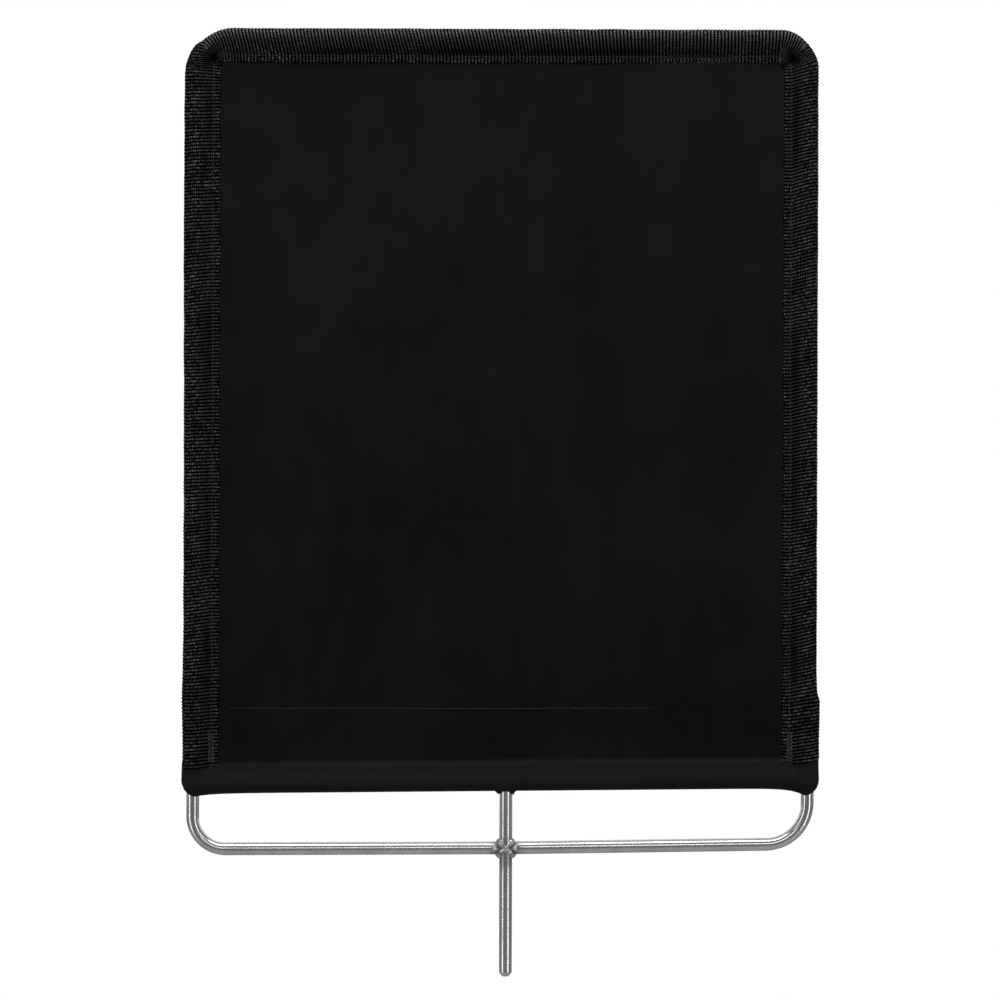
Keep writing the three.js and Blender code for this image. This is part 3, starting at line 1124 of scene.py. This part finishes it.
        # Painted shade along the groove beside the seam.
        beside = 0.27 + 0.35 * wander(distance * 22, 3.1)
        # Painted light on the upward face of the top strip, as overhead light would give.
        painted_light = strip.painted_light * ease(inward, 7 * MM, -4 * MM)
        return max(0.9 * tuck, beside * hump(inward, 10.5 * MM, 3 * MM)) - painted_light

    def pleat(self, distance: float, inward: float) -> float:
        """Height added by the ripples where the webbing is gathered inside a corner."""
        wave = 0.0
        for middle in self.corner_middles():
            wave += hump(distance, middle, 15 * MM) * math.sin((distance - middle) / (2.1 * MM))
        return 0.35 * MM * wave * hump(inward, 14 * MM, 6 * MM)

    def place(self, distance: float, front: float, inward: float) -> Vector:
        """A place on the binding.

        Args:
            distance: How far along the loop.
            front: How far in front of the middle plane.
            inward: How far in from the rod's centre line.

        Returns:
            The position.
        """
        stop = self.layout.loop.at(distance)
        if inward <= 0.0:
            return stop.point + stop.inward * inward + FRONT * front
        aim = self.edge_at(distance) - stop.point
        return stop.point + aim * (inward / self.reach) + FRONT * front

    def outside(self, strip: Strip, distance: float, across: float, relief: float) -> Vector:
        """A place on a strip's outer surface.

        Args:
            strip: The strip.
            distance: How far along the loop.
            across: How far across the strip, forwards from its outermost line.
            relief: How far the surface stands out here.

        Returns:
            The position.
        """
        base = self.fold.at(across)
        normal = self.fold.outward(across)
        seam = hump(abs(across), self.fold.to_seam, self.seam_width)
        curl = self.curl * ease(abs(across), self.half - 3 * MM, self.half)
        rise = relief - self.pinch * seam - curl
        rise += strip.swell(distance) * ease(base.y, 9 * MM, -1 * MM)
        rise += 0.22 * MM * wander(distance * 45, across * 90, strip.seed)
        base = base + normal * rise
        front = base.x * (1.0 - self.hollow(distance, base.y))
        front += math.copysign(1.0, across) * self.pleat(distance, base.y)
        inward = base.y + 0.3 * MM * wander(distance * 60, 7.7, strip.seed) * ease(base.y, 12 * MM, 18 * MM)
        return self.place(distance, front, inward)

    def strip(self, strip: Strip) -> None:
        """Makes a length of webbing with every rib as real relief."""
        step = self.rib_pitch / self.rib_steps
        rows = round((strip.end - strip.start) / step)
        columns = self.outer_columns + self.inner_columns
        draw = random.Random(strip.seed)
        jitter = [draw.uniform(-1.0, 1.0) for _ in range(rows // self.rib_steps + 2)]

        def place(column: int, row: int) -> tuple[Vector, Vector]:
            """Puts one vertex of the strip's closed section in place."""
            column %= columns
            outer = column <= self.outer_columns
            if outer:
                share = 2 * column / self.outer_columns - 1
            else:
                share = 1 - 2 * (column - self.outer_columns) / self.inner_columns
            across = self.half * share
            rib, part = divmod(row, self.rib_steps)
            crest = math.sin(math.pi * part / self.rib_steps) ** 0.7 if part else 0.0
            distance = strip.start + row * step
            roll = max(self.fold.to_seam - across, 0.0) if across > 0 else self.fold.to_seam - across
            corner_lean = strip.corner_lean(distance) * max(self.fold.to_seam - abs(across), 0.0)
            distance += strip.lean(distance) * min(roll, self.fold.to_seam * 1.6) + corner_lean
            distance += 0.35 * MM * wander(distance * 30, across * 60, strip.seed + 0.5)
            relief = self.rib_height * (crest - 0.5) * (1.0 + 0.25 * jitter[rib])
            edge = ease(abs(across), self.half, self.half - 1.2 * MM)
            if not outer:
                relief = -self.thickness
            elif edge < 1.0:
                relief = relief * edge - 0.5 * self.thickness * (1 - edge)
            # The third laid value is painted shade for the webbing's colour, or painted light where it is
            # negative.
            laid = Vector((across, row * step, self.painted_shade_and_light(strip, distance, across)))
            return self.outside(strip, distance, across, relief), laid

        bm = mapped_grid(columns, rows, place)
        close_ends(bm)
        for frayed, row in ((strip.frayed_start, 0), (strip.frayed_end, rows)):
            if frayed:
                self.fray(bm, row, place, draw)
        piece = make_piece(f"{strip.node}_ribbed", bm, self.webbing, Slot.WEBBING, strip.node)
        2 * self.half
        strip.end - strip.start

    def fray(
        self,
        bm: bmesh.types.BMesh,
        row: int,
        place: Callable[[int, int], tuple[Vector, Vector]],
        draw: random.Random,
    ) -> None:
        """Adds the loose fibres of a strip's raw end."""
        roots = []
        for _ in range(self.fibres):
            column = draw.randrange(1, self.outer_columns)
            here = place(column, row)[0]
            further = place(column, row + 4 if row == 0 else row - 4)[0]
            roots.append((here, (here - further).normalized()))
        scatter_fibres(bm, roots, self.fibre_length, self.fibre_radius, draw)

    def strips(self) -> list[Strip]:
        """The three lengths of webbing, in the order in which they are sewn on."""
        layout = self.layout
        bend_left, bend_right = layout.loop.bends[1], layout.loop.bends[2]
        meet_left, meet_right = self.meet(0), self.meet(1)
        bottom_left = layout.along_left(layout.webbing_left)
        bottom_right = layout.along_right(layout.webbing_right)
        thick_left = layout.along_left(self.thick_below)
        thick_right = layout.along_right(self.thick_below)
        step_left = layout.along_left(self.step_height)
        step_right = layout.along_right(self.step_height)
        high_left = layout.along_left(self.proud_height)
        return [
            Strip(
                "webbing_left",
                bottom_left,
                meet_left + self.under_lap,
                lean=lambda s: -0.11 + 0.05 * wander(s * 14, 2.2),
                corner_lean=lambda s: -0.40 * ease(s, bend_left[0] + 4 * MM, meet_left),
                swell=lambda s: 0.9 * MM
                + 0.55 * MM * hump(s, high_left, 110 * MM)
                + 0.9 * MM * hump(s, step_left, 24 * MM)
                + 0.3 * MM * ease(s, thick_left, bottom_left)
                + 0.6 * MM * ease(s, meet_left - 20 * MM, meet_left - 3 * MM)
                - 2.6 * MM * ease(s, meet_left - 2 * MM, meet_left + 7 * MM),
                seed=3,
                hidden=self.under_lap + 3 * MM,
                frayed_start=True,
            ),
            Strip(
                "webbing_right",
                meet_right - self.under_lap,
                bottom_right,
                lean=lambda s: -0.20 + 0.04 * wander(s * 14, 5.1),
                corner_lean=lambda s: 0.30 * ease(s, bend_right[1], meet_right),
                swell=lambda s: 1.9 * MM * ease(s, thick_right - 4 * MM, thick_right + 4 * MM)
                + 0.5 * MM * hump(s, step_right, 18 * MM)
                - 1.1 * MM * ease(s, meet_right + 14 * MM, meet_right)
                - 1.0 * MM * ease(s, meet_right, meet_right - 8 * MM),
                seed=8,
                hidden=self.under_lap + 3 * MM,
                frayed_end=True,
            ),
            Strip(
                "webbing_top",
                meet_left - self.lap,
                meet_right + self.lap,
                lean=lambda s: -0.22 * ease(s, meet_right - 60 * MM, meet_right - 260 * MM),
                corner_lean=lambda s: 0.18 * ease(s, bend_left[1] + 10 * MM, meet_left)
                - 0.18 * ease(s, bend_right[0], meet_right),
                swell=lambda s: 0.3 * MM * ease(s, meet_left + 16 * MM, meet_left)
                - 1.1 * MM * ease(s, meet_right - 16 * MM, meet_right),
                seed=14,
                hidden=self.lap + 3 * MM,
                # Painted light on the top strip's upward face.
                painted_light=0.7,
                frayed_start=True,
                frayed_end=True,
            ),
        ]

    def build(self) -> None:
        """Makes the three strips."""
        for strip in self.strips():
            self.strip(strip)


# ---- Sewing


@dataclass
class Sewing:
    """Single stitches, gathered into one mesh for each seam."""

    thread: bpy.types.Material
    radius: float = 0.27 * MM
    pitch: float = 3.3 * MM
    filled: float = 0.86
    batch: int = 16
    tack_lanes: tuple[float, ...] = (-0.3, 0.0, 0.3)
    tack_parts: int = 6
    tack_pitch: float = 0.8 * MM

    def stitch(self, bm: bmesh.types.BMesh, start: Vector, end: Vector, fat: float = 1.0) -> None:
        """Adds one stitch: a short thread, thickest in its middle, that dives in at both ends."""
        way = end - start
        turn = way.to_track_quat("Z", "Y").to_matrix().to_4x4()
        size = Matrix.Diagonal((self.radius * fat, self.radius * fat, way.length / 2, 1.0))
        bmesh.ops.create_uvsphere(
            bm,
            u_segments=6,
            v_segments=6,
            radius=1.0,
            matrix=Matrix.Translation((start + end) / 2) @ turn @ size,
        )

    def seam(self, node: str, path: Callable[[float], Vector], length: float, seed: int) -> None:
        """Makes a lockstitched seam that stands for a CAD node.

        Args:
            node: The CAD node.
            path: Gives the place of the thread at a distance along the seam.
            length: Length of the seam.
            seed: Picks the unevenness of its stitches.
        """
        draw = random.Random(seed)
        whole = bmesh.new()
        count = int(length / self.pitch)
        for first in range(0, count, self.batch):
            part = bmesh.new()
            for index in range(first, min(first + self.batch, count)):
                begin = (index + 0.07) * self.pitch + draw.uniform(-0.12, 0.12) * MM
                start, end = path(begin), path(begin + self.filled * self.pitch)
                self.stitch(part, start, end, draw.uniform(0.85, 1.15))
            self.gather(whole, part)
        make_piece(f"{node}_stitches", whole, self.thread, Slot.THREAD, node)

    @staticmethod
    def gather(whole: bmesh.types.BMesh, part: bmesh.types.BMesh) -> None:
        """Adds a small mesh to a larger one, and frees it."""
        carrier = bpy.data.meshes.new("stitches")
        part.to_mesh(carrier)
        part.free()
        whole.from_mesh(carrier)
        bpy.data.meshes.remove(carrier)

    def tack(
        self, node: str, path: Callable[[float, float], Vector], width: float, length: float, seed: int
    ) -> None:
        """Makes a bar tack: a dense zigzag over a few long stitches.

        Args:
            node: The CAD node that it stands for.
            path: Gives the place of the thread at a distance along the tack and one across it.
            width: Width of the tack.
            length: Length of the tack.
            seed: Picks its unevenness.
        """
        draw = random.Random(seed)
        bm = bmesh.new()
        for lane in self.tack_lanes:
            for part in range(self.tack_parts):
                start = length * part / self.tack_parts
                end = start + length / self.tack_parts
                self.stitch(bm, path(start, lane * width), path(end, lane * width))
        passes = int(length / self.tack_pitch)
        for index in range(passes):
            low, high = index * length / passes, (index + 1) * length / passes
            half = width / 2 + draw.uniform(-0.35, 0.25) * MM
            first, last = (-half, half) if index % 2 else (half, -half)
            middle = path((low + high) / 2, 0.0) + (path(low, first) - path(low, 0.0)) * 0.02
            self.stitch(bm, path(low, first), middle, 1.1)
            self.stitch(bm, middle, path(high, last), 1.1)
        make_piece(f"{node}_stitches", bm, self.thread, Slot.THREAD, node)


# ---- Cloth


@dataclass
class Cover:
    """The black cloth stretched over the frame: panel, side wraps, sleeve and flap behind."""

    layout: Layout
    cloth: bpy.types.Material
    sewing: Sewing
    thickness: float = 0.7 * MM
    slack: float = 0.65 * MM
    lip: float = 0.35 * MM
    side_seam: float = 13.5 * MM
    side_reach: float = 18.5 * MM
    sleeve_seam: float = 17.0 * MM
    sleeve_inset: float = 9.0 * MM
    flap_inset: float = 21.0 * MM
    top_clear: float = 6.0 * MM
    ear_top: float = 160 * MM
    stride: float = 5.0 * MM
    fine: float = 1.25 * MM
    hole: float = 4.4 * MM
    hole_fade: float = 8 * MM
    pin_clear: float = 13 * MM
    edge_strip: float = 14 * MM
    hem_clear: float = 27 * MM
    front_thread: float = 0.36 * MM
    back_thread: float = 1.3 * MM

    def __post_init__(self) -> None:
        """Lays out the cut cloth: its columns across and its rows along."""
        layout = self.layout
        radius = layout.rod_radius + self.slack
        self.side = Fold(radius, self.lip, self.side_seam, 0.8 * MM)
        self.sleeve = Fold(radius, self.lip, self.sleeve_seam, 0.8 * MM)
        self.centre = layout.crossbar(0.0)
        self.columns = self.column_places()
        self.rows = self.row_places()

    def column_places(self) -> list[tuple[int, float, float]]:
        """The cloth's columns, from the left margin behind to the right margin behind.

        Returns:
            For each column its region (-1 left wrap, 0 panel, 1 right wrap), its distance across
            the wrap or its x, and its distance across the cut cloth.
        """
        layout = self.layout
        wrap = self.side.to_seam + self.side_reach - self.side_seam
        steps = round((wrap + self.side.to_seam) / (1.6 * MM))
        span = wrap + self.side.to_seam
        left = [(-1, -wrap + span * index / steps) for index in range(steps)]
        panel_left = layout.left + self.side_seam
        panel_right = layout.right - self.side_seam
        near_left, near_right = panel_left + self.edge_strip, panel_right - self.edge_strip
        edges = [panel_left, near_left, -self.pin_clear, self.pin_clear, near_right, panel_right]
        strides = [2 * MM, self.stride, self.fine, self.stride, 2 * MM]
        panel = [(0, x) for x in spread(edges, strides)]
        right = [(1, self.side.to_seam - span * index / steps) for index in range(steps + 1)]
        result = []
        for region, value in [*left, *panel, *right]:
            if region < 0:
                cut = panel_left - (self.side.to_seam - value)
            elif region > 0:
                cut = panel_right + (self.side.to_seam - value)
            else:
                cut = value
            result.append((region, value, cut))
        return result

    def row_places(self) -> list[float]:
        """The cloth's rows, as distances across the sleeve from its lowest line, front positive."""
        seam = self.sleeve.to_seam
        flap = self.hem_row()
        top = seam + self.layout.top - self.top_clear - self.centre - self.sleeve_seam
        edges = [-flap, -seam, 0.0, seam, seam + 20 * MM, flap - 4 * MM, flap + 4 * MM, top]
        strides = [3 * MM, self.fine, self.fine, 2 * MM, self.stride, 1 * MM, self.stride]
        return [*spread(edges, strides), top]

    def hem_row(self) -> float:
        """Distance across the sleeve, and on up the panel, of the upper hem seam."""
        return self.sleeve.to_seam + self.layout.hem - self.centre - self.sleeve_seam

    def inward(self, x: float) -> float:
        """Distance of a place inwards from the nearer side of the loop."""
        return min(x - self.layout.left, self.layout.right - x)

    def droop(self, x: float) -> float:
        """How far the sleeve hangs below the crossbar, towards each end."""
        from_left = 2.0 * MM * math.exp(-max(x - self.layout.left - 2.5 * MM, 0.0) / (12 * MM))
        from_right = 4.9 * MM * math.exp(-max(self.layout.right - 3 * MM - x, 0.0) / (9 * MM))
        return from_left + from_right

    def ear_rise(self, x: float, inward: float) -> float:
        """How far the cloth's lower edge climbs as it goes round the side of the loop."""
        low = 2.6 * MM
        steep = 104.0 if x < 0 else 90.0
        full = 0.68 + 0.32 * ease(inward, low - 8 * MM, low - 12 * MM)
        return full * steep * max(low - inward, 0.0) ** 2

    def painted_light(self, cut: float, along: float) -> float:
        """Share of painted light on the cloth: some over the whole sleeve, most on its upward face above the
        crossbar, and rising slightly towards the top of the panel.
        """
        seam = self.sleeve.to_seam
        if abs(along) > seam:
            # Painted light: lighter towards the top of the panel, as under light from above.
            return 0.25 * ease(along, 2 * seam, 0.5)
        # Painted light: some over the whole sleeve, most on its upward face just under the seam.
        ledge = ease(along, 0.2 * seam, 0.75 * seam) * ease(along, seam, seam - 1.2 * MM)
        return 0.35 + (0.5 + 0.15 * wander(cut * 30, 2.2)) * ledge

    def lean(self, up: float) -> float:
        """Share of the crossbar's slope that the cloth's rows keep at a height above it."""
        return 1.0 - 0.75 * ease(up, self.sleeve_seam, 52 * MM)

    def place(self, column: int, row: int) -> tuple[Vector, Vector]:
        """Puts one vertex of the cut cloth in place."""
        region, value, cut = self.columns[column]
        along = self.rows[row]
        front, up = self.sleeve.at(along)
        # The third laid value carries painted light for the cloth's colour.
        laid = Vector((cut, along, self.painted_light(cut, along)))
        if region == 0:
            x, side_front, behind = value, self.lip, False
            inward = self.inward(x)
        else:
            section = self.side.at(value)
            inward, side_front, behind = section.y, section.x, value < 0.0
            stretch = 0.0
            if inward < 0.0:
                stretch = 0.45 * ease(self.centre + up, self.ear_top + 14 * MM, self.ear_top - 6 * MM)
            inward *= 1.0 + stretch
            x = self.layout.left + inward if region < 0 else self.layout.right - inward
        z = self.centre + up + self.layout.slope * x * self.lean(up)
        if along >= 0.0:
            bottom = ease(along, 0.8 * self.sleeve.to_seam, 0.0)
            z -= self.droop(x) * bottom
            z += self.ear_rise(x, inward) * max(1.0 - along / (self.sleeve.to_seam * 1.4), 0.0)
            front = self.front_height(front, abs(side_front), along, inward, behind)
        else:
            z -= self.droop(x) * ease(along, -0.8 * self.sleeve.to_seam, 0.0)
            front -= 0.8 * MM * ease(-along, 8 * MM, self.sleeve.to_seam)
        front += self.waves(x, z, inward, along)
        position = Vector((x, -front, z))
        self.follow_bends(position)
        self.open_at_pin(position)
        return position, laid

    def front_height(
        self, sleeve: float, side: float, along: float, inward: float, behind: bool
    ) -> float:
        """Height of the cloth in front of the middle plane where the sleeve meets a side wrap.

        Args:
            sleeve: Height of the sleeve alone.
            side: Height of the side wrap alone, without its sign.
            along: Distance up from the sleeve's lowest line.
            inward: Distance in from the side of the loop.
            behind: Whether this is the margin behind the loop.

        Returns:
            The height, negative behind.
        """
        held = 1.0 if behind else ease(inward, 12 * MM, 3 * MM)
        share = held + (1.0 - held) * ease(along, 0.0, 12 * MM)
        blend = 0.01 * MM + 2 * MM * ease(along, 0.0, 8 * MM)
        swollen = side * share * (1.0 + 0.12 * ease(along, self.sleeve.to_seam, 4 * MM))
        height = soft_max(sleeve, swollen, blend)
        if behind:
            over_sleeve = ease(along, self.sleeve.to_seam - 1 * MM, self.sleeve.to_seam - 7 * MM)
            return -height - 0.75 * MM * ease(inward, 0.0, 7 * MM) * over_sleeve
        return height

    def waves(self, x: float, z: float, inward: float, along: float) -> float:
        """Slight looseness of the cloth out of its plane."""
        calm = ease(inward, 14 * MM, 60 * MM) * ease(along, self.sleeve.to_seam, 80 * MM)
        broad = wander(x * 6.0, z * 4.0, 1.7) * 0.9 * MM
        small = wander(x * 26.0, z * 19.0, 6.1) * 0.14 * MM
        sleeve = wander(x * 55.0, along * 90.0, 2.9) * 0.18 * MM * ease(abs(along), 0.0, 6 * MM)
        seam = self.sleeve.to_seam
        pull = 0.6 + 0.4 * wander(x * 120.0, 5.5)
        pulled = 0.3 + 0.3 * wander(x * 40.0, 9.3)
        groove = pulled * hump(along, self.hem_row() - 0.6 * MM, 1.5 * MM)
        crease = 1.5 * hump(along, seam - 3.2 * MM, 2.8 * MM) - 0.5 * hump(along, seam + 0.4 * MM, 1.4 * MM)
        open_part = ease(inward, 14 * MM, 24 * MM) * (1.0 if along > 0.0 else 0.0)
        return (broad + small) * calm + sleeve * (1.0 - calm) + open_part * (crease * pull - groove) * MM

    def follow_bends(self, position: Vector) -> None:
        """Keeps the cloth's hidden top corners inside the loop's bends."""
        layout = self.layout
        for side, radius in ((layout.left, layout.bend_top_left), (layout.right, layout.bend_top_right)):
            inner = math.copysign(radius, -side)
            centre_x, centre_z = side + inner, layout.top - radius
            depth = (position.x - centre_x) * -math.copysign(1.0, inner)
            height = position.z - centre_z
            limit = radius - self.top_clear
            if height <= 0.0 or depth <= 0.0:
                continue
            room = math.sqrt(max(limit**2 - height**2, 0.0))
            if depth > room:
                position.x = centre_x - math.copysign(room, inner)

    def open_at_pin(self, position: Vector) -> None:
        """Opens the sleeve's underside round the pin and draws its edge down into a short collar."""
        from_pin = math.hypot(position.x, position.y)
        under = ease(position.z, self.centre - 0.5 * MM, self.centre - 3.5 * MM)
        if from_pin >= self.hole_fade or under == 0.0 or from_pin == 0.0:
            return
        wider = self.hole + (self.hole_fade - self.hole) * from_pin / self.hole_fade
        grown = 1.0 + (wider / from_pin - 1.0) * under
        position.x *= grown
        position.y *= grown
        side = position.x / max(wider, MERGE)
        width = 1.7 * MM + 0.9 * MM * ease(side, 0.2, -0.8)
        drop = 2.4 * MM * side**2 + 1.2 * MM * max(side, 0.0) + 0.4 * MM
        position.z -= drop * under * hump(wider, self.hole, width)

    def left_out(self, column: float, row: float) -> bool:
        """Says whether the quad at a column and row is cut away before sewing."""
        region, value, _ = self.columns[int(column)]
        along = (self.rows[int(row)] + self.rows[int(row) + 1]) / 2
        inset = self.inward(value) if region == 0 else 0.0
        if along < 0.0:
            needed = self.sleeve_inset if along > -self.sleeve.to_seam else self.flap_inset
            if region != 0 or inset < needed + self.fine:
                return True
        if region != 0 and self.centre + along > self.layout.top - self.layout.bend_top_left:
            return True
        if region != 0:
            return False
        middle = (value + self.columns[int(column) + 1][1]) / 2
        return math.hypot(middle, along) < 2.0 * self.fine

    def flat_area(self) -> float:
        """Area of the cut cloth."""
        area = 0.0
        for row in range(len(self.rows) - 1):
            height = self.rows[row + 1] - self.rows[row]
            for column in range(len(self.columns) - 1):
                if not self.left_out(column + 0.5, row + 0.5):
                    area += height * (self.columns[column + 1][2] - self.columns[column][2])
        return area

    def sheet(self) -> None:
        """Makes the cloth."""
        bm = mapped_grid(len(self.columns) - 1, len(self.rows) - 1, self.place, self.left_out)
        bmesh.ops.recalc_face_normals(bm, faces=bm.faces)
        piece = make_piece("cloth_cover", bm, self.cloth, Slot.CLOTH, "cloth_panel")
        wall = piece.modifiers.new("thickness", "SOLIDIFY")
        wall.thickness = self.thickness
        wall.offset = 0.0
        cut_width = self.columns[-1][2] - self.columns[0][2]
        cut_length = self.rows[-1] - self.rows[0]
        area = self.flat_area()
        log.info("cloth cut %.3f x %.3f m, area %.4f m2", cut_width, cut_length, area)

    def hem_seams(self) -> None:
        """Sews the sleeve shut and the flap's hem down, with a thread on each face."""
        layout = self.layout
        start = layout.left + self.hem_clear
        length = layout.right - self.hem_clear - start
        heights = {
            "hem_upper": lambda x: layout.hem - 0.1 * MM + 0.0035 * x + 0.25 * MM * wander(x * 18, 4.4),
            "hem_lower": lambda x: layout.crossbar(x) + self.sleeve_seam + 0.3 * MM * wander(x * 16, 8.8),
        }
        for index, (name, height) in enumerate(heights.items()):
            for face in Face:
                depth = self.lip + (self.front_thread if face is Face.FRONT else self.back_thread)
                path = self.hem_path(start, height, face, depth)
                self.sewing.seam(f"thread_{name}_{face.word}", path, length, 40 + index)

    def hem_path(
        self, start: float, height: Callable[[float], float], face: Face, depth: float
    ) -> Callable[[float], Vector]:
        """The path of a hem seam's thread.

        Args:
            start: The x at which the seam starts.
            height: Gives the seam's height at an x.
            face: The face that the thread lies on.
            depth: How far the thread lies from the middle plane.

        Returns:
            A function that gives the thread's place at a distance along the seam.
        """

        def path(distance: float) -> Vector:
            """The thread's place at a distance along the seam."""
            x = start + distance
            loose = self.waves(x, height(x), self.inward(x), self.sleeve.to_seam)
            return Vector((x, -face.value * depth - loose, height(x)))

        return path

    def build(self) -> None:
        """Makes the cloth and its own seams."""
        self.sheet()
        self.hem_seams()


@dataclass
class Threads:
    """The seams and bar tacks that hold the webbing down."""

    binding: Binding
    sewing: Sewing
    proud: float = 0.08 * MM
    tack_width: float = 5 * MM
    tack_length: float = 22 * MM
    tack_lift: float = 3 * MM

    def height(self, distance: float, inward: float) -> float:
        """Height of the webbing's surface above the middle plane near the seam."""
        fold = self.binding.fold
        across = fold.to_seam + inward - self.binding.seam_inset
        spot = fold.at(across)
        pinch = self.binding.pinch * hump(across, fold.to_seam, self.binding.seam_width)
        return (spot.x - pinch) * (1.0 - self.binding.hollow(distance, inward)) + self.proud

    def path(self, strip: Strip, face: Face, start: float) -> Callable[[float, float], Vector]:
        """The path of the thread that holds a strip down on one face.

        Args:
            strip: The strip.
            face: The face that the thread lies on.
            start: Distance along the loop at which the path starts.

        Returns:
            A function that gives a place at a distance along the seam and one across it.
        """

        def path(distance: float, across: float = 0.0) -> Vector:
            """The thread's place at a distance along the seam and one across it."""
            spot = start + distance
            drift = 0.45 * MM * wander(spot * 13, strip.seed * 1.7)
            inward = self.binding.seam_inset + drift + across
            return self.binding.place(spot, face.value * self.height(spot, inward), inward)

        return path

    def build(self) -> None:
        """Sews all three strips down, on both faces."""
        binding = self.binding
        clear = self.tack_length + self.tack_lift
        for strip in binding.strips():
            side = strip.node.removeprefix("webbing_")
            start = strip.start + (clear if side == "left" else strip.hidden)
            end = strip.end - (clear if side == "right" else strip.hidden)
            for face in Face:
                seam = f"thread_{side}_{face.word}"
                self.sewing.seam(seam, self.path(strip, face, start), end - start, strip.seed)
                if side == "top":
                    continue
                tack_start = start - self.tack_length if side == "left" else end
                tack = f"bar_tack_{side}_{face.word}"
                path = self.path(strip, face, tack_start)
                self.sewing.tack(tack, path, self.tack_width, self.tack_length, strip.seed + 1)


# ---- Studio


@dataclass
class Studio:
    """A plain pale floor, soft lights and the camera."""

    camera_place: Vector = Vector((-5.16 * MM, -2058 * MM, 352.7 * MM))
    camera_roll: float = math.radians(0.2)
    lens: float = 100.0
    sensor: float = 36.0
    floor_height: float = -1.1
    floor_size: float = 24.0
    aim: Vector = Vector((0.0, 0.0, 0.35))
    strip_distance: float = 2.2
    strip_height: float = 0.5
    dim_room: float = 0.12
    bright_room: float = 0.85

    def camera(self) -> None:
        """Makes the camera, level with the middle of the picture and square to the flag."""
        data = bpy.data.cameras.new("camera")
        data.lens = self.lens
        data.sensor_width = self.sensor
        camera = link("camera", data)
        turn = Matrix.Rotation(-self.camera_roll, 4, "Y") @ Matrix.Rotation(math.pi / 2, 4, "X")
        camera.matrix_world = Matrix.Translation(self.camera_place) @ turn
        bpy.context.scene.camera = camera

    def floor(self) -> None:
        """Makes the floor far below the flag, which is held up by its pin."""
        bm = bmesh.new()
        bmesh.ops.create_grid(bm, x_segments=1, y_segments=1, size=self.floor_size / 2)
        bmesh.ops.translate(bm, verts=bm.verts, vec=(0.0, 0.0, self.floor_height))
        mesh = bpy.data.meshes.new("floor")
        bm.to_mesh(mesh)
        bm.free()
        floor = link("floor", mesh)
        material = bpy.data.materials.new("pale_floor")
        material.use_nodes = True
        shading = Shading(material.node_tree)
        seen = shading.node("ShaderNodeLightPath", output="Is Camera Ray")
        white = shading.node("ShaderNodeEmission", values={"Color": (1.0, 1.0, 1.0, 1.0), "Strength": 1.0})
        matt = shading.node("ShaderNodeBsdfDiffuse", values={"Color": (0.5, 0.5, 0.5, 1.0)})
        mixed = shading.node("ShaderNodeMixShader", values={0: seen, 1: matt, 2: white})
        shading.end("ShaderNodeOutputMaterial", mixed)
        mesh.materials.append(material)

    def backdrop(self) -> None:
        """Gives the world a pale backdrop behind the flag and a dim room in front of it."""
        world = bpy.data.worlds.new("studio")
        bpy.context.scene.world = world
        world.use_nodes = True
        shading = Shading(world.node_tree)
        way = shading.node("ShaderNodeTexCoord", output="Generated")
        _, depth, _ = shading.parts(way)
        behind = shading.ramp(depth, -0.45, 0.75, self.dim_room, self.bright_room)
        seen = shading.node("ShaderNodeLightPath", output="Is Camera Ray")
        strength = seen.most(behind)
        white = (1.0, 1.0, 1.0, 1.0)
        light = shading.node("ShaderNodeBackground", values={"Color": white, "Strength": strength})
        shading.end("ShaderNodeOutputWorld", light)

    def softbox(self, name: str, place: Vector, width: float, height: float, power: float) -> None:
        """Hangs a rectangular light that faces the flag.

        Args:
            name: The light's name.
            place: Its centre.
            width: Its width.
            height: Its height.
            power: Its power in watts.
        """
        data = bpy.data.lights.new(name, "AREA")
        data.shape = "RECTANGLE"
        data.size = width
        data.size_y = height
        data.energy = power
        light = link(name, data)
        turn = (self.aim - place).to_track_quat("-Z", "Y").to_matrix().to_4x4()
        light.matrix_world = Matrix.Translation(place) @ turn
        light.visible_camera = False

    def lights(self) -> None:
        """Hangs the lights: a tall strip on each side, one over the camera and one overhead."""
        for name, angle, power in (("strip_left", -55.0, 12.0), ("strip_right", 44.0, 12.0)):
            turn = math.radians(angle)
            level = Vector((math.sin(turn), -math.cos(turn), 0.0)) * self.strip_distance
            self.softbox(name, level + UP * self.strip_height, 0.42, 2.8, power)
        self.softbox("over_camera", Vector((0.0, -2.3, 0.95)), 1.8, 0.45, 7.0)
        self.softbox("overhead", Vector((0.0, -0.45, 2.4)), 2.6, 1.3, 42.0)

    def build(self) -> None:
        """Makes the studio."""
        self.camera()
        self.floor()
        self.backdrop()
        self.lights()
        bpy.context.scene.view_settings.view_transform = "Standard"


def main() -> None:
    """Builds the studio and every sub-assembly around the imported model."""
    Studio().build()
    layout = Layout()
    steel = DrawnSteel(heat_centre=layout.scorch).material()
    thread = SewingThread().material()
    Steelwork(layout, steel, WeldMetal().material()).build()
    binding = Binding(layout, RibbedWebbing().material())
    binding.build()
    sewing = Sewing(thread)
    Cover(layout, NappedCloth().material(), sewing).build()
    Threads(binding, sewing).build()


if __name__ == "__main__":
    main()
